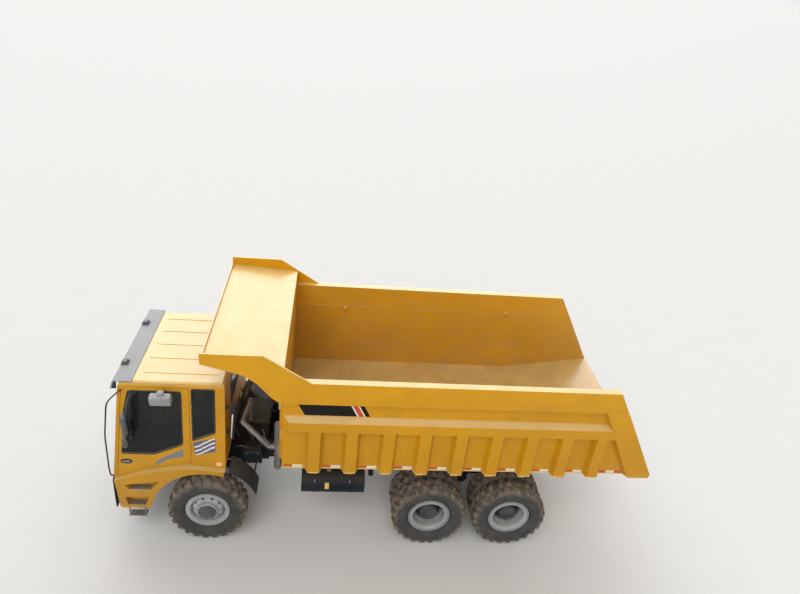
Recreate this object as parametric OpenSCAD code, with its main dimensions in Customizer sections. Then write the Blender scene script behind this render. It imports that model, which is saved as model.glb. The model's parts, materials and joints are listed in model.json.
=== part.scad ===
// Rigid mining dump truck with a single steered axle, a twin tyred tandem and a rear tipping load bed.
// Millimetres. +X points to the front, +Y to the left side, +Z up; the origin lies on the ground,
// midway between the front and rear ends.

/* [Wheels] */
// Place of the front axle along the truck
front_axle_x = 3100; // [3000:10:3200]
// Front axle to first rear axle
wheelbase = 3950; // [3850:10:4050]
// First to second rear axle
tandem = 1500; // [1450:10:1560]
// Outer radius of a tyre at the lug tips
tyre_r = 685; // [660:1:690]
// Width of one tyre
tyre_w = 375; // [350:1:385]
// Depth of the tread lugs
lug_depth = 34; // [20:1:45]
// Number of lugs round each shoulder
lug_count = 24; // [18:1:30]
// Radius of the wheel rim's flange
rim_r = 385; // [360:1:400]
// Middle of one front tyre to the middle of the other
front_track = 2780; // [2740:10:2820]
// Middle of the outer rear tyre to the middle of the other side's
rear_track = 2956; // [2930:2:2970]
// Spacing of the two tyres of a twin
twin_pitch = 420; // [410:1:440]

/* [Chassis] */
// Outer face of a frame rail from the centre plane
rail_y = 500; // [480:5:510]
// Height of a frame rail
rail_h = 320; // [260:10:340]
// Top of the frame rails above the ground
rail_top = 1350; // [1330:1:1360]
// Width of a rail's flange
rail_flange = 100; // [80:5:110]
// Plate thickness of a rail
rail_t = 16; // [10:1:20]
// Rear end of the frame rails
frame_rear_x = -3500; // [-3600:10:-3460]
// Front end of the frame rails
frame_front_x = 4640; // [4600:5:4645]

/* [Steering] */
// Kingpin from the centre plane
kingpin_y = 1080; // [1060:1:1090]
// Radius of a kingpin
kingpin_r = 30; // [24:1:36]
// Radius of a front wheel's spindle
spindle_r = 45; // [38:1:52]
// Ball joint of the track rod behind the front axle
arm_x = 250; // [220:5:270]

/* [Cab] */
// Rear wall of the cab
cab_rear_x = 2800; // [2780:5:2840]
// Foot of the cab's front face
cab_front_x = 4676; // [4660:2:4690]
// Height of the roof
cab_top = 3142; // [3100:2:3180]
// Half width of the cab at the reference height
cab_half = 1330; // [1310:2:1345]
// Reference height of the cab's half width
cab_ref_z = 1500; // [1450:10:1550]
// Inward lean of the cab's sides for each unit of height
cab_lean = 0.115; // [0.08:0.005:0.13]
// Backward lean of the windscreen for each unit of height
front_lean = 0.093; // [0.06:0.001:0.12]
// Thickness of the cab's walls and doors
cab_wall = 40; // [30:1:50]
// Gap all round a door
door_gap = 6; // [5:0.5:9]
// Rear edge of the door opening
door_rear_x = 3375; // [3370:1:3380]
// Half width of the raised engine cover inside the cab
cover_half = 560; // [550:5:600]
// Top of the engine cover
cover_top = 1790; // [1770:5:1850]

/* [Fenders] */
// Outer face of the fender
fender_y = 1430; // [1420:1:1440]
// Sheet thickness of the fender
fender_t = 14; // [10:1:20]
// Least radius of the wheel arch about the front axle
arch_r = 745; // [740:1:760]
// Extra radius of the arch towards its front foot
arch_spread = 215; // [200:1:225]

/* [Load bed] */
// Outer width of the bed over its rails
bed_w = 3400; // [3380:5:3420]
// Front wall of the bed, outer face
bed_front_x = 1820; // [1800:5:1840]
// Rear end of the bed's top rail
bed_rear_top_x = -3720; // [-3760:5:-3680]
// Rear end of the bed at its foot
bed_rear_x = -4720; // [-4730:1:-4700]
// Lower edge of the bed's side
bed_low_z = 1800; // [1795:1:1820]
// Top of the side rails
bed_top_z = 3640; // [3600:5:3680]
// Plate thickness of the bed
bed_t = 20; // [12:1:30]
// Depth of the outside ribs
rib_depth = 110; // [90:1:120]
// Width of a rib's outer face
rib_w = 190; // [160:5:220]
// Spacing of the ribs
rib_pitch = 616; // [600:1:622]
// Middle of the first rib
rib_first_x = 1288; // [1270:1:1300]
// Height of the canopy's side boards
canopy_top_z = 4120; // [4080:5:4160]
// Front edge of the canopy over the cab
canopy_front_x = 3060; // [3020:5:3100]

/* [Tipping gear] */
// Hinge of the bed along the truck
hinge_x = -3350; // [-3370:5:-3330]
// Hinge of the bed above the ground
hinge_z = 1500; // [1490:1:1510]
// Radius of the bed's hinge shaft
hinge_r = 45; // [38:1:50]
// Foot pivot of the hoist cylinders along the truck
hoist_foot_x = -100; // [-110:5:-90]
// Foot pivot of the hoist cylinders above the ground
hoist_foot_z = 920; // [915:1:925]
// Rod eye of the hoist cylinders along the truck
hoist_eye_x = -2200; // [-2205:1:-2195]
// Rod eye of the hoist cylinders above the ground
hoist_eye_z = 1470; // [1465:1:1475]
// Each hoist cylinder from the centre plane
hoist_y = 220; // [210:2:230]
// Outer radius of a hoist barrel
barrel_r = 95; // [85:1:100]
// Radius of a hoist rod
rod_r = 55; // [45:1:60]

/* [Hidden] */

// Running clearance of a shaft in its hole, and the seating gap of two pieces that only rest together
run_gap = 0.05;
seat_gap = 0.3;

yellow = "#e8a317";
frame_black = "#3a3c40";
dark = "#2c2e31";
steel = "#8f9499";
glass_tint = "#26302e";
rubber = "#2a2826";

rear_axle_x = [front_axle_x - wheelbase, front_axle_x - wheelbase - tandem];
axle_z = tyre_r;
rail_low = rail_top - rail_h;

// Extrudes a side outline, drawn as [x, z], across the truck from y0 to y1
module across(y0, y1) {
    translate([0, y1, 0]) rotate([90, 0, 0]) linear_extrude(height = y1 - y0) children();
}

// Extrudes a cross outline, drawn as [y, z], along the truck from x0 to x1
module along(x0, x1) {
    translate([x0, 0, 0]) rotate([90, 0, 90]) linear_extrude(height = x1 - x0) children();
}

// Draws its children on both sides of the centre plane
module both_sides() {
    children();
    mirror([0, 1, 0]) children();
}

// A round bar between two points with its axis along Y
module bar_y(x, z, r, y0, y1) {
    translate([x, y1, z]) rotate([90, 0, 0]) cylinder(r = r, h = y1 - y0, $fn = 48);
}

// A round bar between any two points
module rod(a, b, r) {
    d = b - a;
    translate(a) rotate([0, acos(d[2] / norm(d)), atan2(d[1], d[0])])
        cylinder(r = r, h = norm(d), $fn = 24);
}

// Round bars along a row of points, with a ball a little wider than the bar on each bend
module bent_rod(points, r) {
    for (i = [1 : len(points) - 1]) rod(points[i - 1], points[i], r);
    if (len(points) > 2) for (i = [1 : len(points) - 2])
        translate(points[i]) sphere(r = 1.04 * r, $fn = 24);
}

// A box given by its two corners
module block(low, high) {
    translate(low) cube(high - low);
}

// CHASSIS

// Cross members: [x0, x1, z0, z1]
member_places = [
    [4280, 4440, rail_low - 12, rail_low],
    [1900, 1990, rail_low + 170, rail_low + 300],
    [700, 800, rail_low + 20, rail_low + 260],
    [-1680, -1520, rail_low - 24, rail_low],
    [-2700, -2610, rail_low + 20, rail_low + 240]];

spring_half = 750;
spring_y = rail_y - rail_flange / 2;
spring_eye_z = 935;
spring_eye_r = 34;
trunnion_x = (rear_axle_x[0] + rear_axle_x[1]) / 2;
trunnion_z = 735;
trunnion_r = 70;
hoist_pin_r = 35;
bracket_t = 25;
end_plate_t = 30;
tail_half = 820;
tail_bar_low = 1050;
tail_bar_h = 150;
tow_r = 26;
tow_ear_t = 25;
tow_gap = 95;
tow_reach = 110;
tow_z = 1250;

module frame_rails() {
    color(frame_black) both_sides() along(frame_rear_x, frame_front_x)
        polygon([[rail_y - rail_flange, rail_low], [rail_y, rail_low], [rail_y, rail_top],
            [rail_y - rail_flange, rail_top], [rail_y - rail_flange, rail_top - rail_t],
            [rail_y - rail_t, rail_top - rail_t], [rail_y - rail_t, rail_low + rail_t],
            [rail_y - rail_flange, rail_low + rail_t]]);
}

// A flat ear with a round end at the tip and a straight root
module flat_ear(root, tip) {
    wide = 60;
    translate(tip) circle(r = wide, $fn = 48);
    polygon([root - [0, wide], root + [0, wide], tip + [0, wide], tip - [0, wide]]);
}

module cross_members() {
    color(frame_black) {
        for (m = member_places) let (inner = (m[2] < rail_low) ? rail_y : rail_y - rail_t)
            block([m[0], -inner, m[2]], [m[1], inner, m[3]]);
        // End plate with the bar of the tail lamps and the rear tow ears
        union() {
            block([frame_rear_x - end_plate_t, -rail_y, rail_low], [frame_rear_x, rail_y, rail_top]);
            block([frame_rear_x - end_plate_t, -tail_half, tail_bar_low],
                [frame_rear_x, tail_half, tail_bar_low + tail_bar_h]);
            for (s = [-1, 1]) translate([0, 0, tow_z + s * tow_gap / 2 - tow_ear_t / 2])
                linear_extrude(height = tow_ear_t) difference() {
                    flat_ear([frame_rear_x - end_plate_t + 10, 0], [frame_rear_x - tow_reach, 0]);
                    translate([frame_rear_x - tow_reach, 0]) circle(r = tow_r, $fn = 48);
                }
        }
    }
}

// Plates and shaft that carry the hoist cylinders' feet
module hoist_foot() {
    inner = rail_y - rail_flange - bracket_t;
    color(frame_black) union() {
        both_sides() across(inner, inner + bracket_t)
            polygon([[hoist_foot_x - 90, hoist_foot_z - 60], [hoist_foot_x + 90, hoist_foot_z - 60],
                [hoist_foot_x + 160, rail_top - 60], [hoist_foot_x - 160, rail_top - 60]]);
        bar_y(hoist_foot_x, hoist_foot_z, hoist_pin_r, -inner - 1, inner + 1);
    }
}

module frame_brackets() {
    color(frame_black) {
        // Brackets and shaft of the load bed's hinge
        both_sides() across(rail_y - 80, rail_y - 20) difference() {
            union() {
                polygon([[hinge_x - 150, rail_top], [hinge_x + 190, rail_top],
                    [hinge_x + 70, hinge_z + 60], [hinge_x - 70, hinge_z + 60]]);
                translate([hinge_x, hinge_z]) circle(r = 80, $fn = 48);
            }
            translate([hinge_x, hinge_z]) circle(r = hinge_r + run_gap, $fn = 48);
        }
        bar_y(hinge_x, hinge_z, hinge_r, -rail_y - 110, rail_y + 110);
        // Brackets and stub shafts of the tandem's springs
        both_sides() union() {
            across(rail_y, rail_y + bracket_t)
                polygon([[trunnion_x - 90, trunnion_z - 90], [trunnion_x + 90, trunnion_z - 90],
                    [trunnion_x + 220, rail_low + 180], [trunnion_x - 220, rail_low + 180]]);
            bar_y(trunnion_x, trunnion_z, trunnion_r, rail_y + bracket_t - 1, rail_y + 200);
        }
        // Hangers of the front springs
        both_sides() for (s = [-1, 1])
            let (x = front_axle_x + s * spring_half)
            block([x - 50, spring_y - leaf_half, spring_eye_z + spring_eye_r + seat_gap],
                [x + 50, spring_y + leaf_half, rail_low]);
        // Cab mounts
        difference() {
            both_sides() for (x = [2950, 4150])
                block([x - 60, rail_y, rail_low + 150], [x + 60, rail_y + 160, cab_ref_z + 100]);
            across(-bed_w, bed_w) cab_side_outline(0);
        }
    }
}

// WHEELS

module turned_y(y) {
    translate([0, y, 0]) rotate([-90, 0, 0]) rotate_extrude($fn = 64) children();
}

bead_r = 318;
bead_w = 236;
crown_drop = 12;
shoulder_w = tyre_w - 16;

// Section of the tyre without lugs, as [radius, width]
function carcass_section() = let (root = tyre_r - lug_depth) [
    [bead_r, -bead_w / 2], [rim_r + 6, -bead_w / 2], [rim_r + 14, -bead_w / 2 - 24],
    [rim_r + 130, -tyre_w / 2], [root - 50, -tyre_w / 2 + 4], [root - 14, -shoulder_w / 2 + 24],
    [root, -shoulder_w / 2 + 60], [root, shoulder_w / 2 - 60], [root - 14, shoulder_w / 2 - 24],
    [root - 50, tyre_w / 2 - 4], [rim_r + 130, tyre_w / 2], [rim_r + 14, bead_w / 2 + 24],
    [rim_r + 6, bead_w / 2], [bead_r, bead_w / 2]];

// Tips of the lugs, lower towards the shoulders
module crown(side) {
    root = tyre_r - lug_depth - 60;
    half = shoulder_w / 2;
    edge = tyre_r - crown_drop;
    polygon([[root, 0], [root, side * (half - 2)], [tyre_r - lug_depth - 30, side * half],
        [edge - 8, side * (half - 8)], [edge, side * (half - 22)], [tyre_r, side * 0.4 * half], [tyre_r, 0]]);
}

// Outline of one ring of lugs, four points a lug
module lug_outline() {
    pitch = 360 / lug_count;
    root = tyre_r - lug_depth - 4;
    tip = tyre_r + 10;
    difference() {
        polygon([for (i = [0 : lug_count - 1], p = [[tip, -0.24], [tip, 0.24], [root, 0.3], [root, 0.7]])
            p[0] * [cos((i + p[1]) * pitch), sin((i + p[1]) * pitch)]]);
        circle(r = root - 40, $fn = 64);
    }
}

module tyre(y) {
    turned_y(y) polygon(carcass_section());
    for (side = [-1, 1]) intersection() {
        turned_y(y) crown(side);
        translate([0, y, 0]) rotate([90, 0, 0]) rotate([0, 0, (side > 0) ? 0 : 180 / lug_count])
            translate([0, 0, (side > 0) ? -tyre_w / 2 : 0])
            linear_extrude(height = tyre_w / 2) lug_outline();
    }
}

rim_w = bead_w + 44;
rim_well_r = bead_r - seat_gap;

// Section of the rim's barrel, as [radius, width], about the tyre's middle plane
module barrel_section() {
    bead = bead_w / 2;
    half = [[rim_well_r, bead - 20], [rim_well_r, bead + seat_gap], [rim_r - 6, bead + seat_gap],
        [rim_r, bead + 8], [rim_r - 4, rim_w / 2], [rim_well_r - 8, rim_w / 2], [rim_well_r - 26, bead - 20]];
    polygon(concat([for (i = [6 : -1 : 0]) half[i]], [for (p = half) [p[0], -p[1]]]));
}

hand_holes = 10;
hand_hole_r = 22;
hub_y = 90;

// Front wheel: convex disc with a ring of holes and a hub over the spindle, outward side at +Y
module front_rim(y) {
    knuckle_face = kingpin_y + 120;
    difference() {
        union() {
            turned_y(y) barrel_section();
            turned_y(y) polygon([[rim_well_r - 26, 30], [rim_well_r - 26, 58], [250, 112], [205, 128],
                [150, 128], [150, 108], [195, 108], [240, 92]]);
            turned_y(y) polygon([[spindle_r + run_gap, knuckle_face - y + 10], [205, knuckle_face - y + 10],
                [205, 20], [160, 40], [160, 128], [176, 132], [176, 176], [150, 192], [60, 198], [0, 198],
                [0, 100], [spindle_r + run_gap, 100]]);
        }
        for (i = [0 : hand_holes - 1]) rotate([0, i * 360 / hand_holes, 0])
            translate([245, y + 150, 0]) rotate([90, 0, 0]) cylinder(r = hand_hole_r, h = 100, $fn = 24);
    }
}

rear_spindle_r = 60;
drum_y = 840;

// Twin wheel: two rims bolted back to back on one long hub, outward side at +Y
module twin_rims() {
    outer = rear_track / 2;
    inner = outer - twin_pitch;
    union() {
        for (y = [inner, outer]) turned_y(y) barrel_section();
        // The two discs meet midway and dish towards their own rims
        turned_y(inner) polygon([[rim_well_r - 26, 20], [rim_well_r - 26, 50], [235, 208], [150, 208],
            [150, 188], [222, 188]]);
        turned_y(outer) polygon([[rim_well_r - 26, -20], [rim_well_r - 26, -50], [235, -212], [150, -212],
            [150, -192], [222, -192]]);
        turned_y(0) polygon([[rear_spindle_r + run_gap, drum_y], [210, drum_y], [210, inner + 60],
            [170, inner + 90], [170, outer - 60], [176, outer - 50], [176, outer + 30], [150, outer + 70],
            [70, outer + 82], [0, outer + 82], [0, outer - 20], [rear_spindle_r + run_gap, outer - 20]]);
    }
}

module at_wheel(x, side) {
    translate([x, 0, axle_z]) mirror([0, (side > 0) ? 0 : 1, 0]) children();
}

module front_left_rim() { color(steel) at_wheel(front_axle_x, 1) front_rim(front_track / 2); }
module front_right_rim() { color(steel) at_wheel(front_axle_x, -1) front_rim(front_track / 2); }
module front_left_tyre() { color(rubber) at_wheel(front_axle_x, 1) tyre(front_track / 2); }
module front_right_tyre() { color(rubber) at_wheel(front_axle_x, -1) tyre(front_track / 2); }

module twin_tyres() {
    tyre(rear_track / 2);
    tyre(rear_track / 2 - twin_pitch);
}

module rear_1_left_rims() { color(steel) at_wheel(rear_axle_x[0], 1) twin_rims(); }
module rear_1_right_rims() { color(steel) at_wheel(rear_axle_x[0], -1) twin_rims(); }
module rear_2_left_rims() { color(steel) at_wheel(rear_axle_x[1], 1) twin_rims(); }
module rear_2_right_rims() { color(steel) at_wheel(rear_axle_x[1], -1) twin_rims(); }
module rear_1_left_tyres() { color(rubber) at_wheel(rear_axle_x[0], 1) twin_tyres(); }
module rear_1_right_tyres() { color(rubber) at_wheel(rear_axle_x[0], -1) twin_tyres(); }
module rear_2_left_tyres() { color(rubber) at_wheel(rear_axle_x[1], 1) twin_tyres(); }
module rear_2_right_tyres() { color(rubber) at_wheel(rear_axle_x[1], -1) twin_tyres(); }

// AXLES, STEERING AND SPRINGS

beam_top = axle_z + 15;
beam_low = axle_z - 95;
ear_t = 60;
ear_r = 70;
ear_gap = 8;
boss_r = 62;

module front_axle_beam() {
    color(dark) union() {
        across(-kingpin_y, kingpin_y) translate([front_axle_x, 0])
            polygon([[-55, beam_low], [55, beam_low], [55, beam_low + 22], [18, beam_low + 30],
                [18, beam_top - 30], [55, beam_top - 22], [55, beam_top], [-55, beam_top],
                [-55, beam_top - 22], [-18, beam_top - 30], [-18, beam_low + 30], [-55, beam_low + 22]]);
        both_sides() translate([front_axle_x, kingpin_y, beam_low]) {
            cylinder(r = boss_r, h = beam_top - beam_low, $fn = 48);
            translate([0, 0, -ear_gap - ear_t - 6])
                cylinder(r = kingpin_r, h = beam_top - beam_low + 2 * (ear_gap + ear_t + 6), $fn = 48);
        }
    }
}

track_rod_z = beam_low - ear_gap - 18;
ball_r = 14;
arm_half = 34;

module knuckle() {
    low = beam_low - ear_gap - ear_t;
    top = beam_top + ear_gap + ear_t;
    plate_y = kingpin_y + ear_r + 10;
    difference() {
        union() {
            for (z = [low, top - ear_t]) {
                translate([front_axle_x, kingpin_y, z]) cylinder(r = ear_r, h = ear_t, $fn = 48);
                block([front_axle_x - ear_r, kingpin_y, z], [front_axle_x + ear_r, plate_y, z + ear_t]);
            }
            block([front_axle_x - ear_r, plate_y, low], [front_axle_x + ear_r, plate_y + 38, top]);
            bar_y(front_axle_x, axle_z, spindle_r, plate_y + 20, front_track / 2 + hub_y);
            // Arm to the track rod
            translate([front_axle_x - arm_x, kingpin_y, low]) {
                linear_extrude(height = 30) polygon([[arm_x - 40, 60], [arm_x - 40, -60], [-24, -arm_half],
                    [-arm_half, -20], [-arm_half, 20], [-24, arm_half]]);
                translate([0, 0, 10]) cylinder(r = ball_r, h = track_rod_z + 20 - low, $fn = 32);
            }
        }
        translate([front_axle_x, kingpin_y, low - 10])
            cylinder(r = kingpin_r + run_gap, h = top - low + 20, $fn = 48);
    }
}

module knuckle_left() { color("#4a4d52") knuckle(); }
module knuckle_right() { color("#4a4d52") mirror([0, 1, 0]) knuckle(); }

rod_end_r = 34;

module track_rod() {
    x = front_axle_x - arm_x;
    z = track_rod_z + 12;
    color("#4a4d52") difference() {
        union() {
            bar_y(x, z, 22, -kingpin_y + 10, kingpin_y - 10);
            both_sides() translate([x, kingpin_y, z - 20]) cylinder(r = rod_end_r, h = 40, $fn = 32);
        }
        both_sides() translate([x, kingpin_y, z - 30]) cylinder(r = ball_r + run_gap, h = 60, $fn = 32);
    }
}

leaf_t = 22;
leaf_half = 45;
leaf_count = 5;
rear_leaf_count = 7;

// Side outline of a stack of leaves: parabolas below and above, each leaf shorter than its neighbour
module leaf_stack(base, rise, half, count, taper, longest_on_top) {
    steps = 12;
    function reach(k) = half * (1 - taper * (longest_on_top ? count - 1 - k : k));
    function level(u, k) = base + rise * pow(u / half, 2) + k * leaf_t;
    polygon(concat(
        [for (i = [-steps : steps]) let (u = i / steps * reach(0)) [u, level(u, 0)]],
        [for (k = [0 : count - 1], e = [0, 1]) if (k + e > 0) [reach(k), level(reach(k), k + e)]],
        [for (i = [steps - 1 : -1 : 1 - steps]) let (u = i / steps * reach(count - 1)) [u, level(u, count)]],
        [for (k = [count - 1 : -1 : 0], e = [1, 0]) if (k + e > 0) [-reach(k), level(reach(k), k + e)]]));
}

module front_springs() {
    rise = spring_eye_z - beam_top - seat_gap - (leaf_count - 0.5) * leaf_t;
    color(dark) both_sides() union() {
        for (s = [-1, 1]) bar_y(front_axle_x + s * spring_half, spring_eye_z, spring_eye_r,
            spring_y - leaf_half, spring_y + leaf_half);
        across(spring_y - leaf_half, spring_y + leaf_half) translate([front_axle_x, 0])
            leaf_stack(beam_top + seat_gap, rise, spring_half, leaf_count, 0.16, true);
    }
}

housing_r = 95;
diff_r = 225;
rear_spring_y = rail_y + 100;
collar_t = 20;

module rear_axles() {
    color(dark) for (i = [0, 1]) translate([rear_axle_x[i], 0, axle_z]) union() {
        let (end = rear_track / 2 - 30, neck = drum_y - 20)
            rotate([-90, 0, 0]) rotate_extrude($fn = 48) polygon([[0, -end], [rear_spindle_r, -end],
                [rear_spindle_r, -neck], [housing_r, -neck], [housing_r, -300], [diff_r, -120],
                [diff_r, 120], [housing_r, 300], [housing_r, neck], [rear_spindle_r, neck],
                [rear_spindle_r, end], [0, end]]);
        // Collars that carry the ends of the leaf springs
        both_sides() bar_y(0, 0, housing_r + collar_t, rear_spring_y - 55, rear_spring_y + 55);
        rotate([0, 90, 0]) cylinder(r1 = 130, r2 = 80, h = 360, $fn = 48);
        if (i == 0) rotate([0, -90, 0]) cylinder(r1 = 130, r2 = 70, h = 330, $fn = 48);
    }
}

module rear_springs() {
    half = tandem / 2 + 90;
    camber = 30;
    base = axle_z + housing_r + collar_t + seat_gap + camber * pow(tandem / 2 / half, 2);
    color(dark) both_sides() difference() {
        union() {
            across(rear_spring_y - leaf_half, rear_spring_y + leaf_half) translate([trunnion_x, 0])
                leaf_stack(base, -camber, half, rear_leaf_count, 0.1, false);
            bar_y(trunnion_x, trunnion_z, trunnion_r + 40, rail_y + 35, rail_y + 175);
            block([trunnion_x - 110, rear_spring_y - leaf_half, trunnion_z],
                [trunnion_x + 110, rear_spring_y + leaf_half, base + 10]);
        }
        bar_y(trunnion_x, trunnion_z, trunnion_r + run_gap, rail_y + 20, rail_y + 250);
    }
}

shaft_r = 50;
joint_r = 75;
joint_t = 36;

module prop_shafts() {
    gearbox_end = [1480, 0, 900];
    nose_1 = [rear_axle_x[0] + 360, 0, axle_z];
    tail_1 = [rear_axle_x[0] - 330, 0, axle_z];
    nose_2 = [rear_axle_x[1] + 360, 0, axle_z];
    drop = atan2(gearbox_end[2] - nose_1[2], gearbox_end[0] - nose_1[0]);
    run = norm(gearbox_end - nose_1);
    color(steel) {
        union() {
            translate(nose_1) rotate([0, 90, 0]) cylinder(r = joint_r, h = joint_t, $fn = 32);
            translate(gearbox_end - [joint_t, 0, 0]) rotate([0, 90, 0])
                cylinder(r = joint_r, h = joint_t, $fn = 32);
            translate(nose_1) rotate([0, 90 - drop, 0]) translate([0, 0, joint_t / 2])
                cylinder(r = shaft_r, h = run - joint_t, $fn = 32);
        }
        translate(nose_2) rotate([0, 90, 0]) union() {
            cylinder(r = joint_r, h = joint_t, $fn = 32);
            cylinder(r = shaft_r, h = tail_1[0] - nose_2[0], $fn = 32);
            translate([0, 0, tail_1[0] - nose_2[0] - joint_t]) cylinder(r = joint_r, h = joint_t, $fn = 32);
        }
    }
}

// ENGINE AND WHAT STANDS ROUND IT

engine_front_x = 3950;
engine_rear_x = 2150;
engine_half = 370;
engine_top = 1720;

module engine_block() {
    color("#4b5157") union() {
        block([engine_rear_x, -engine_half, 830], [engine_front_x, engine_half, engine_top]);
        block([1650, -250, 780], [engine_rear_x + 1, 250, 1180]);
        translate([1480, 0, 900]) rotate([0, 90, 0]) cylinder(r = 110, h = 180, $fn = 32);
        both_sides() for (x = [2400, 3700])
            block([x - 60, engine_half - 1, rail_low + 60], [x + 60, rail_y - rail_t, rail_low + 120]);
    }
}

module radiator() {
    color(dark) block([4300, -390, rail_low], [4420, 390, engine_top]);
}

// Upright silencer beside the bed's front wall, fed by a pipe from the engine's top
exhaust_at = [1930, 1000];
module exhaust() {
    elbow = [exhaust_at[0] + 160, exhaust_at[1], 1720];
    crest = [2560, 900, 2180];
    // Stacked cylinders: [z, radius, height]
    parts = [[1250, 65, 1000], [1200, 40, 60], [1340, 72, 30], [2140, 72, 30]];
    color("#7d7f80") union() {
        for (p = parts)
            translate([exhaust_at[0], exhaust_at[1], p[0]]) cylinder(r = p[1], h = p[2], $fn = 32);
        bent_rod([[exhaust_at[0], exhaust_at[1], 1700], elbow, crest, [crest[0] - 60, 300, crest[2]],
            [crest[0] - 60, 300, engine_top]], 45);
        block([exhaust_at[0] - 20, rail_y, 1280], [exhaust_at[0] + 20, exhaust_at[1] - 50, 1320]);
    }
}

// Filter canister on the right, and the upright duct on the cab's rear wall on the left
module air_intake() {
    filter_at = [2100, -950];
    filter_z = 1500;
    // Stacked cylinders of the filter: [z above its foot, radius, height]
    parts = [[0, 170, 620], [619, 90, 500], [1118, 150, 120]];
    bracket = [filter_at[0] - 40, filter_at[0] + 40];
    duct_y = 1120;
    duct = [[cab_rear_x - 85, duct_y, 2000], [cab_rear_x - 140, duct_y, 2760]];
    color("#8a8f93") {
        union() {
            for (p = parts) translate([filter_at[0], filter_at[1], filter_z + p[0]])
                cylinder(r = p[1], h = p[2], $fn = 40);
            block([bracket[0], filter_at[1] + 50, filter_z - 100], [bracket[1], -rail_y - 19, filter_z - 20]);
            block([bracket[0], filter_at[1] - 50, filter_z - 100],
                [bracket[1], filter_at[1] + 100, filter_z + 1]);
            block([bracket[0], -rail_y - 20, rail_top - 150], [bracket[1], -rail_y, filter_z - 20]);
        }
        union() {
            rod(duct[0], duct[1], 42);
            for (z = [2120, 2640])
                block([cab_rear_x - 120, duct_y - 20, z], [cab_rear_x, duct_y + 20, z + 40]);
        }
    }
}

// CAB

// Line on which the cab's side meets the fender's ledge: [x, z], rear to front
ledge_line = [[cab_rear_x, 1485], [3461, 1555], [3778, 1500], [4110, 1440], [4650, 1262],
    [cab_front_x, 1254]];

// Side outline of the cab, drawn in by an inset
module cab_side_outline(inset) {
    brow_r = 120;
    brow = [cab_front_x - front_lean * (cab_top - ledge_line[5][1]) - brow_r, cab_top - brow_r];
    offset(delta = -inset) polygon(concat([[cab_rear_x, cab_top - 40], [cab_rear_x + 40, cab_top]],
        [for (a = [90 : -15 : 0]) brow + brow_r * [cos(a), sin(a)]], [for (i = [5 : -1 : 0]) ledge_line[i]]));
}

// Cross outline of the cab, drawn in by an inset
module cab_cross_outline(inset) {
    low = 1150;
    function half(z) = cab_half - cab_lean * (z - cab_ref_z);
    offset(delta = -inset)
        polygon([[-half(low), low], [half(low), low], [half(cab_top - 60), cab_top - 60],
            [half(cab_top) - 14, cab_top - 18], [half(cab_top) - 50, cab_top],
            [-half(cab_top) + 50, cab_top], [-half(cab_top) + 14, cab_top - 18],
            [-half(cab_top - 60), cab_top - 60]]);
}

module cab_volume(inset) {
    intersection() {
        across(-bed_w, bed_w) cab_side_outline(inset);
        along(cab_rear_x - 100, cab_front_x + 100) cab_cross_outline(inset);
    }
}

sill = 30;
pillar = 62;
door_head_z = 3050;

function front_face_x(z) = cab_front_x - front_lean * (z - ledge_line[5][1]);

// Door outline, drawn in by the gap round it
module door_outline(gap) {
    offset(delta = -gap)
        polygon([[door_rear_x, ledge_line[1][1] + sill - 6], [ledge_line[1][0], ledge_line[1][1] + sill],
            [ledge_line[2][0], ledge_line[2][1] + sill], [ledge_line[3][0], ledge_line[3][1] + sill],
            [front_face_x(1330) - pillar, ledge_line[4][1] + sill + 14],
            [front_face_x(2900) - pillar, 2900], [front_face_x(2900) - pillar - 90, door_head_z],
            [door_rear_x, door_head_z]]);
}

module door_window() {
    polygon([[3504, 2985], [4335, 2985], [4425, 2610], [4505, 1765], [3980, 1759], [3504, 1960]]);
}

module quarter_window() {
    polygon([[2965, 3040], [3335, 3040], [3335, 2045], [2965, 2204]]);
}

module windscreen_outline() {
    polygon([[-1120, 1960], [1120, 1960], [1040, 2930], [-1040, 2930]]);
}

module rear_window() {
    polygon([[-560, 2300], [560, 2300], [560, 2800], [-560, 2800]]);
}

roof_swages = [-860, -430, 0, 430, 860];
hinge_stations = [1880, 2750];
hinge_len = 110;
hinge_leaf = [38, 8];
hinge_half_gap = 0.5;
door_pin_r = 8;
door_knuckle_r = 13;
pin_out = 14;

// Places its children on the leaning side of the cab, local Z up the door's hinge line
module on_hinge_line(z) {
    translate([door_rear_x, cab_half - cab_lean * (z - cab_ref_z), z]) rotate([atan(cab_lean), 0, 0])
        translate([0, pin_out, 0]) children();
}

// Knuckle and leaf of one half of every hinge: the door's half lies above (1), the cab's half below (-1)
module hinge_halves(way) {
    for (z = hinge_stations)
        on_hinge_line(z) mirror([0, 0, (way > 0) ? 0 : 1]) translate([0, 0, hinge_half_gap]) {
            cylinder(r = door_knuckle_r, h = hinge_len / 2, $fn = 32);
            block([(way > 0) ? 0 : -hinge_leaf[0], -pin_out - 1, 0],
                [(way > 0) ? hinge_leaf[0] : 0, hinge_leaf[1] - pin_out, hinge_len / 2]);
        }
}

module hinge_pins(r) {
    for (z = hinge_stations) on_hinge_line(z) translate([0, 0, -hinge_len / 2])
        cylinder(r = r, h = hinge_len, $fn = 32);
}

module cab_shell() {
    color(yellow) difference() {
        union() {
            difference() {
                cab_volume(0);
                cab_volume(cab_wall);
            }
            both_sides() {
                hinge_halves(-1);
                hinge_pins(door_pin_r);
            }
            intersection() {
                cab_volume(0);
                block([cab_rear_x, -cover_half, 1200], [cab_front_x, cover_half, cover_top]);
            }
            for (y = roof_swages)
                block([cab_rear_x + 120, y - 12, cab_top - 2], [4150, y + 12, cab_top + 8]);
        }
        block([cab_rear_x - 10, -cover_half + 30, 1100], [cab_front_x + 10, cover_half - 30, cover_top - 30]);
        both_sides() across(1000, 1500) {
            door_outline(0);
            quarter_window();
        }
        along(cab_front_x - 260, cab_front_x + 50) windscreen_outline();
        along(cab_rear_x - 20, cab_rear_x + 100) rear_window();
    }
}

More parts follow.
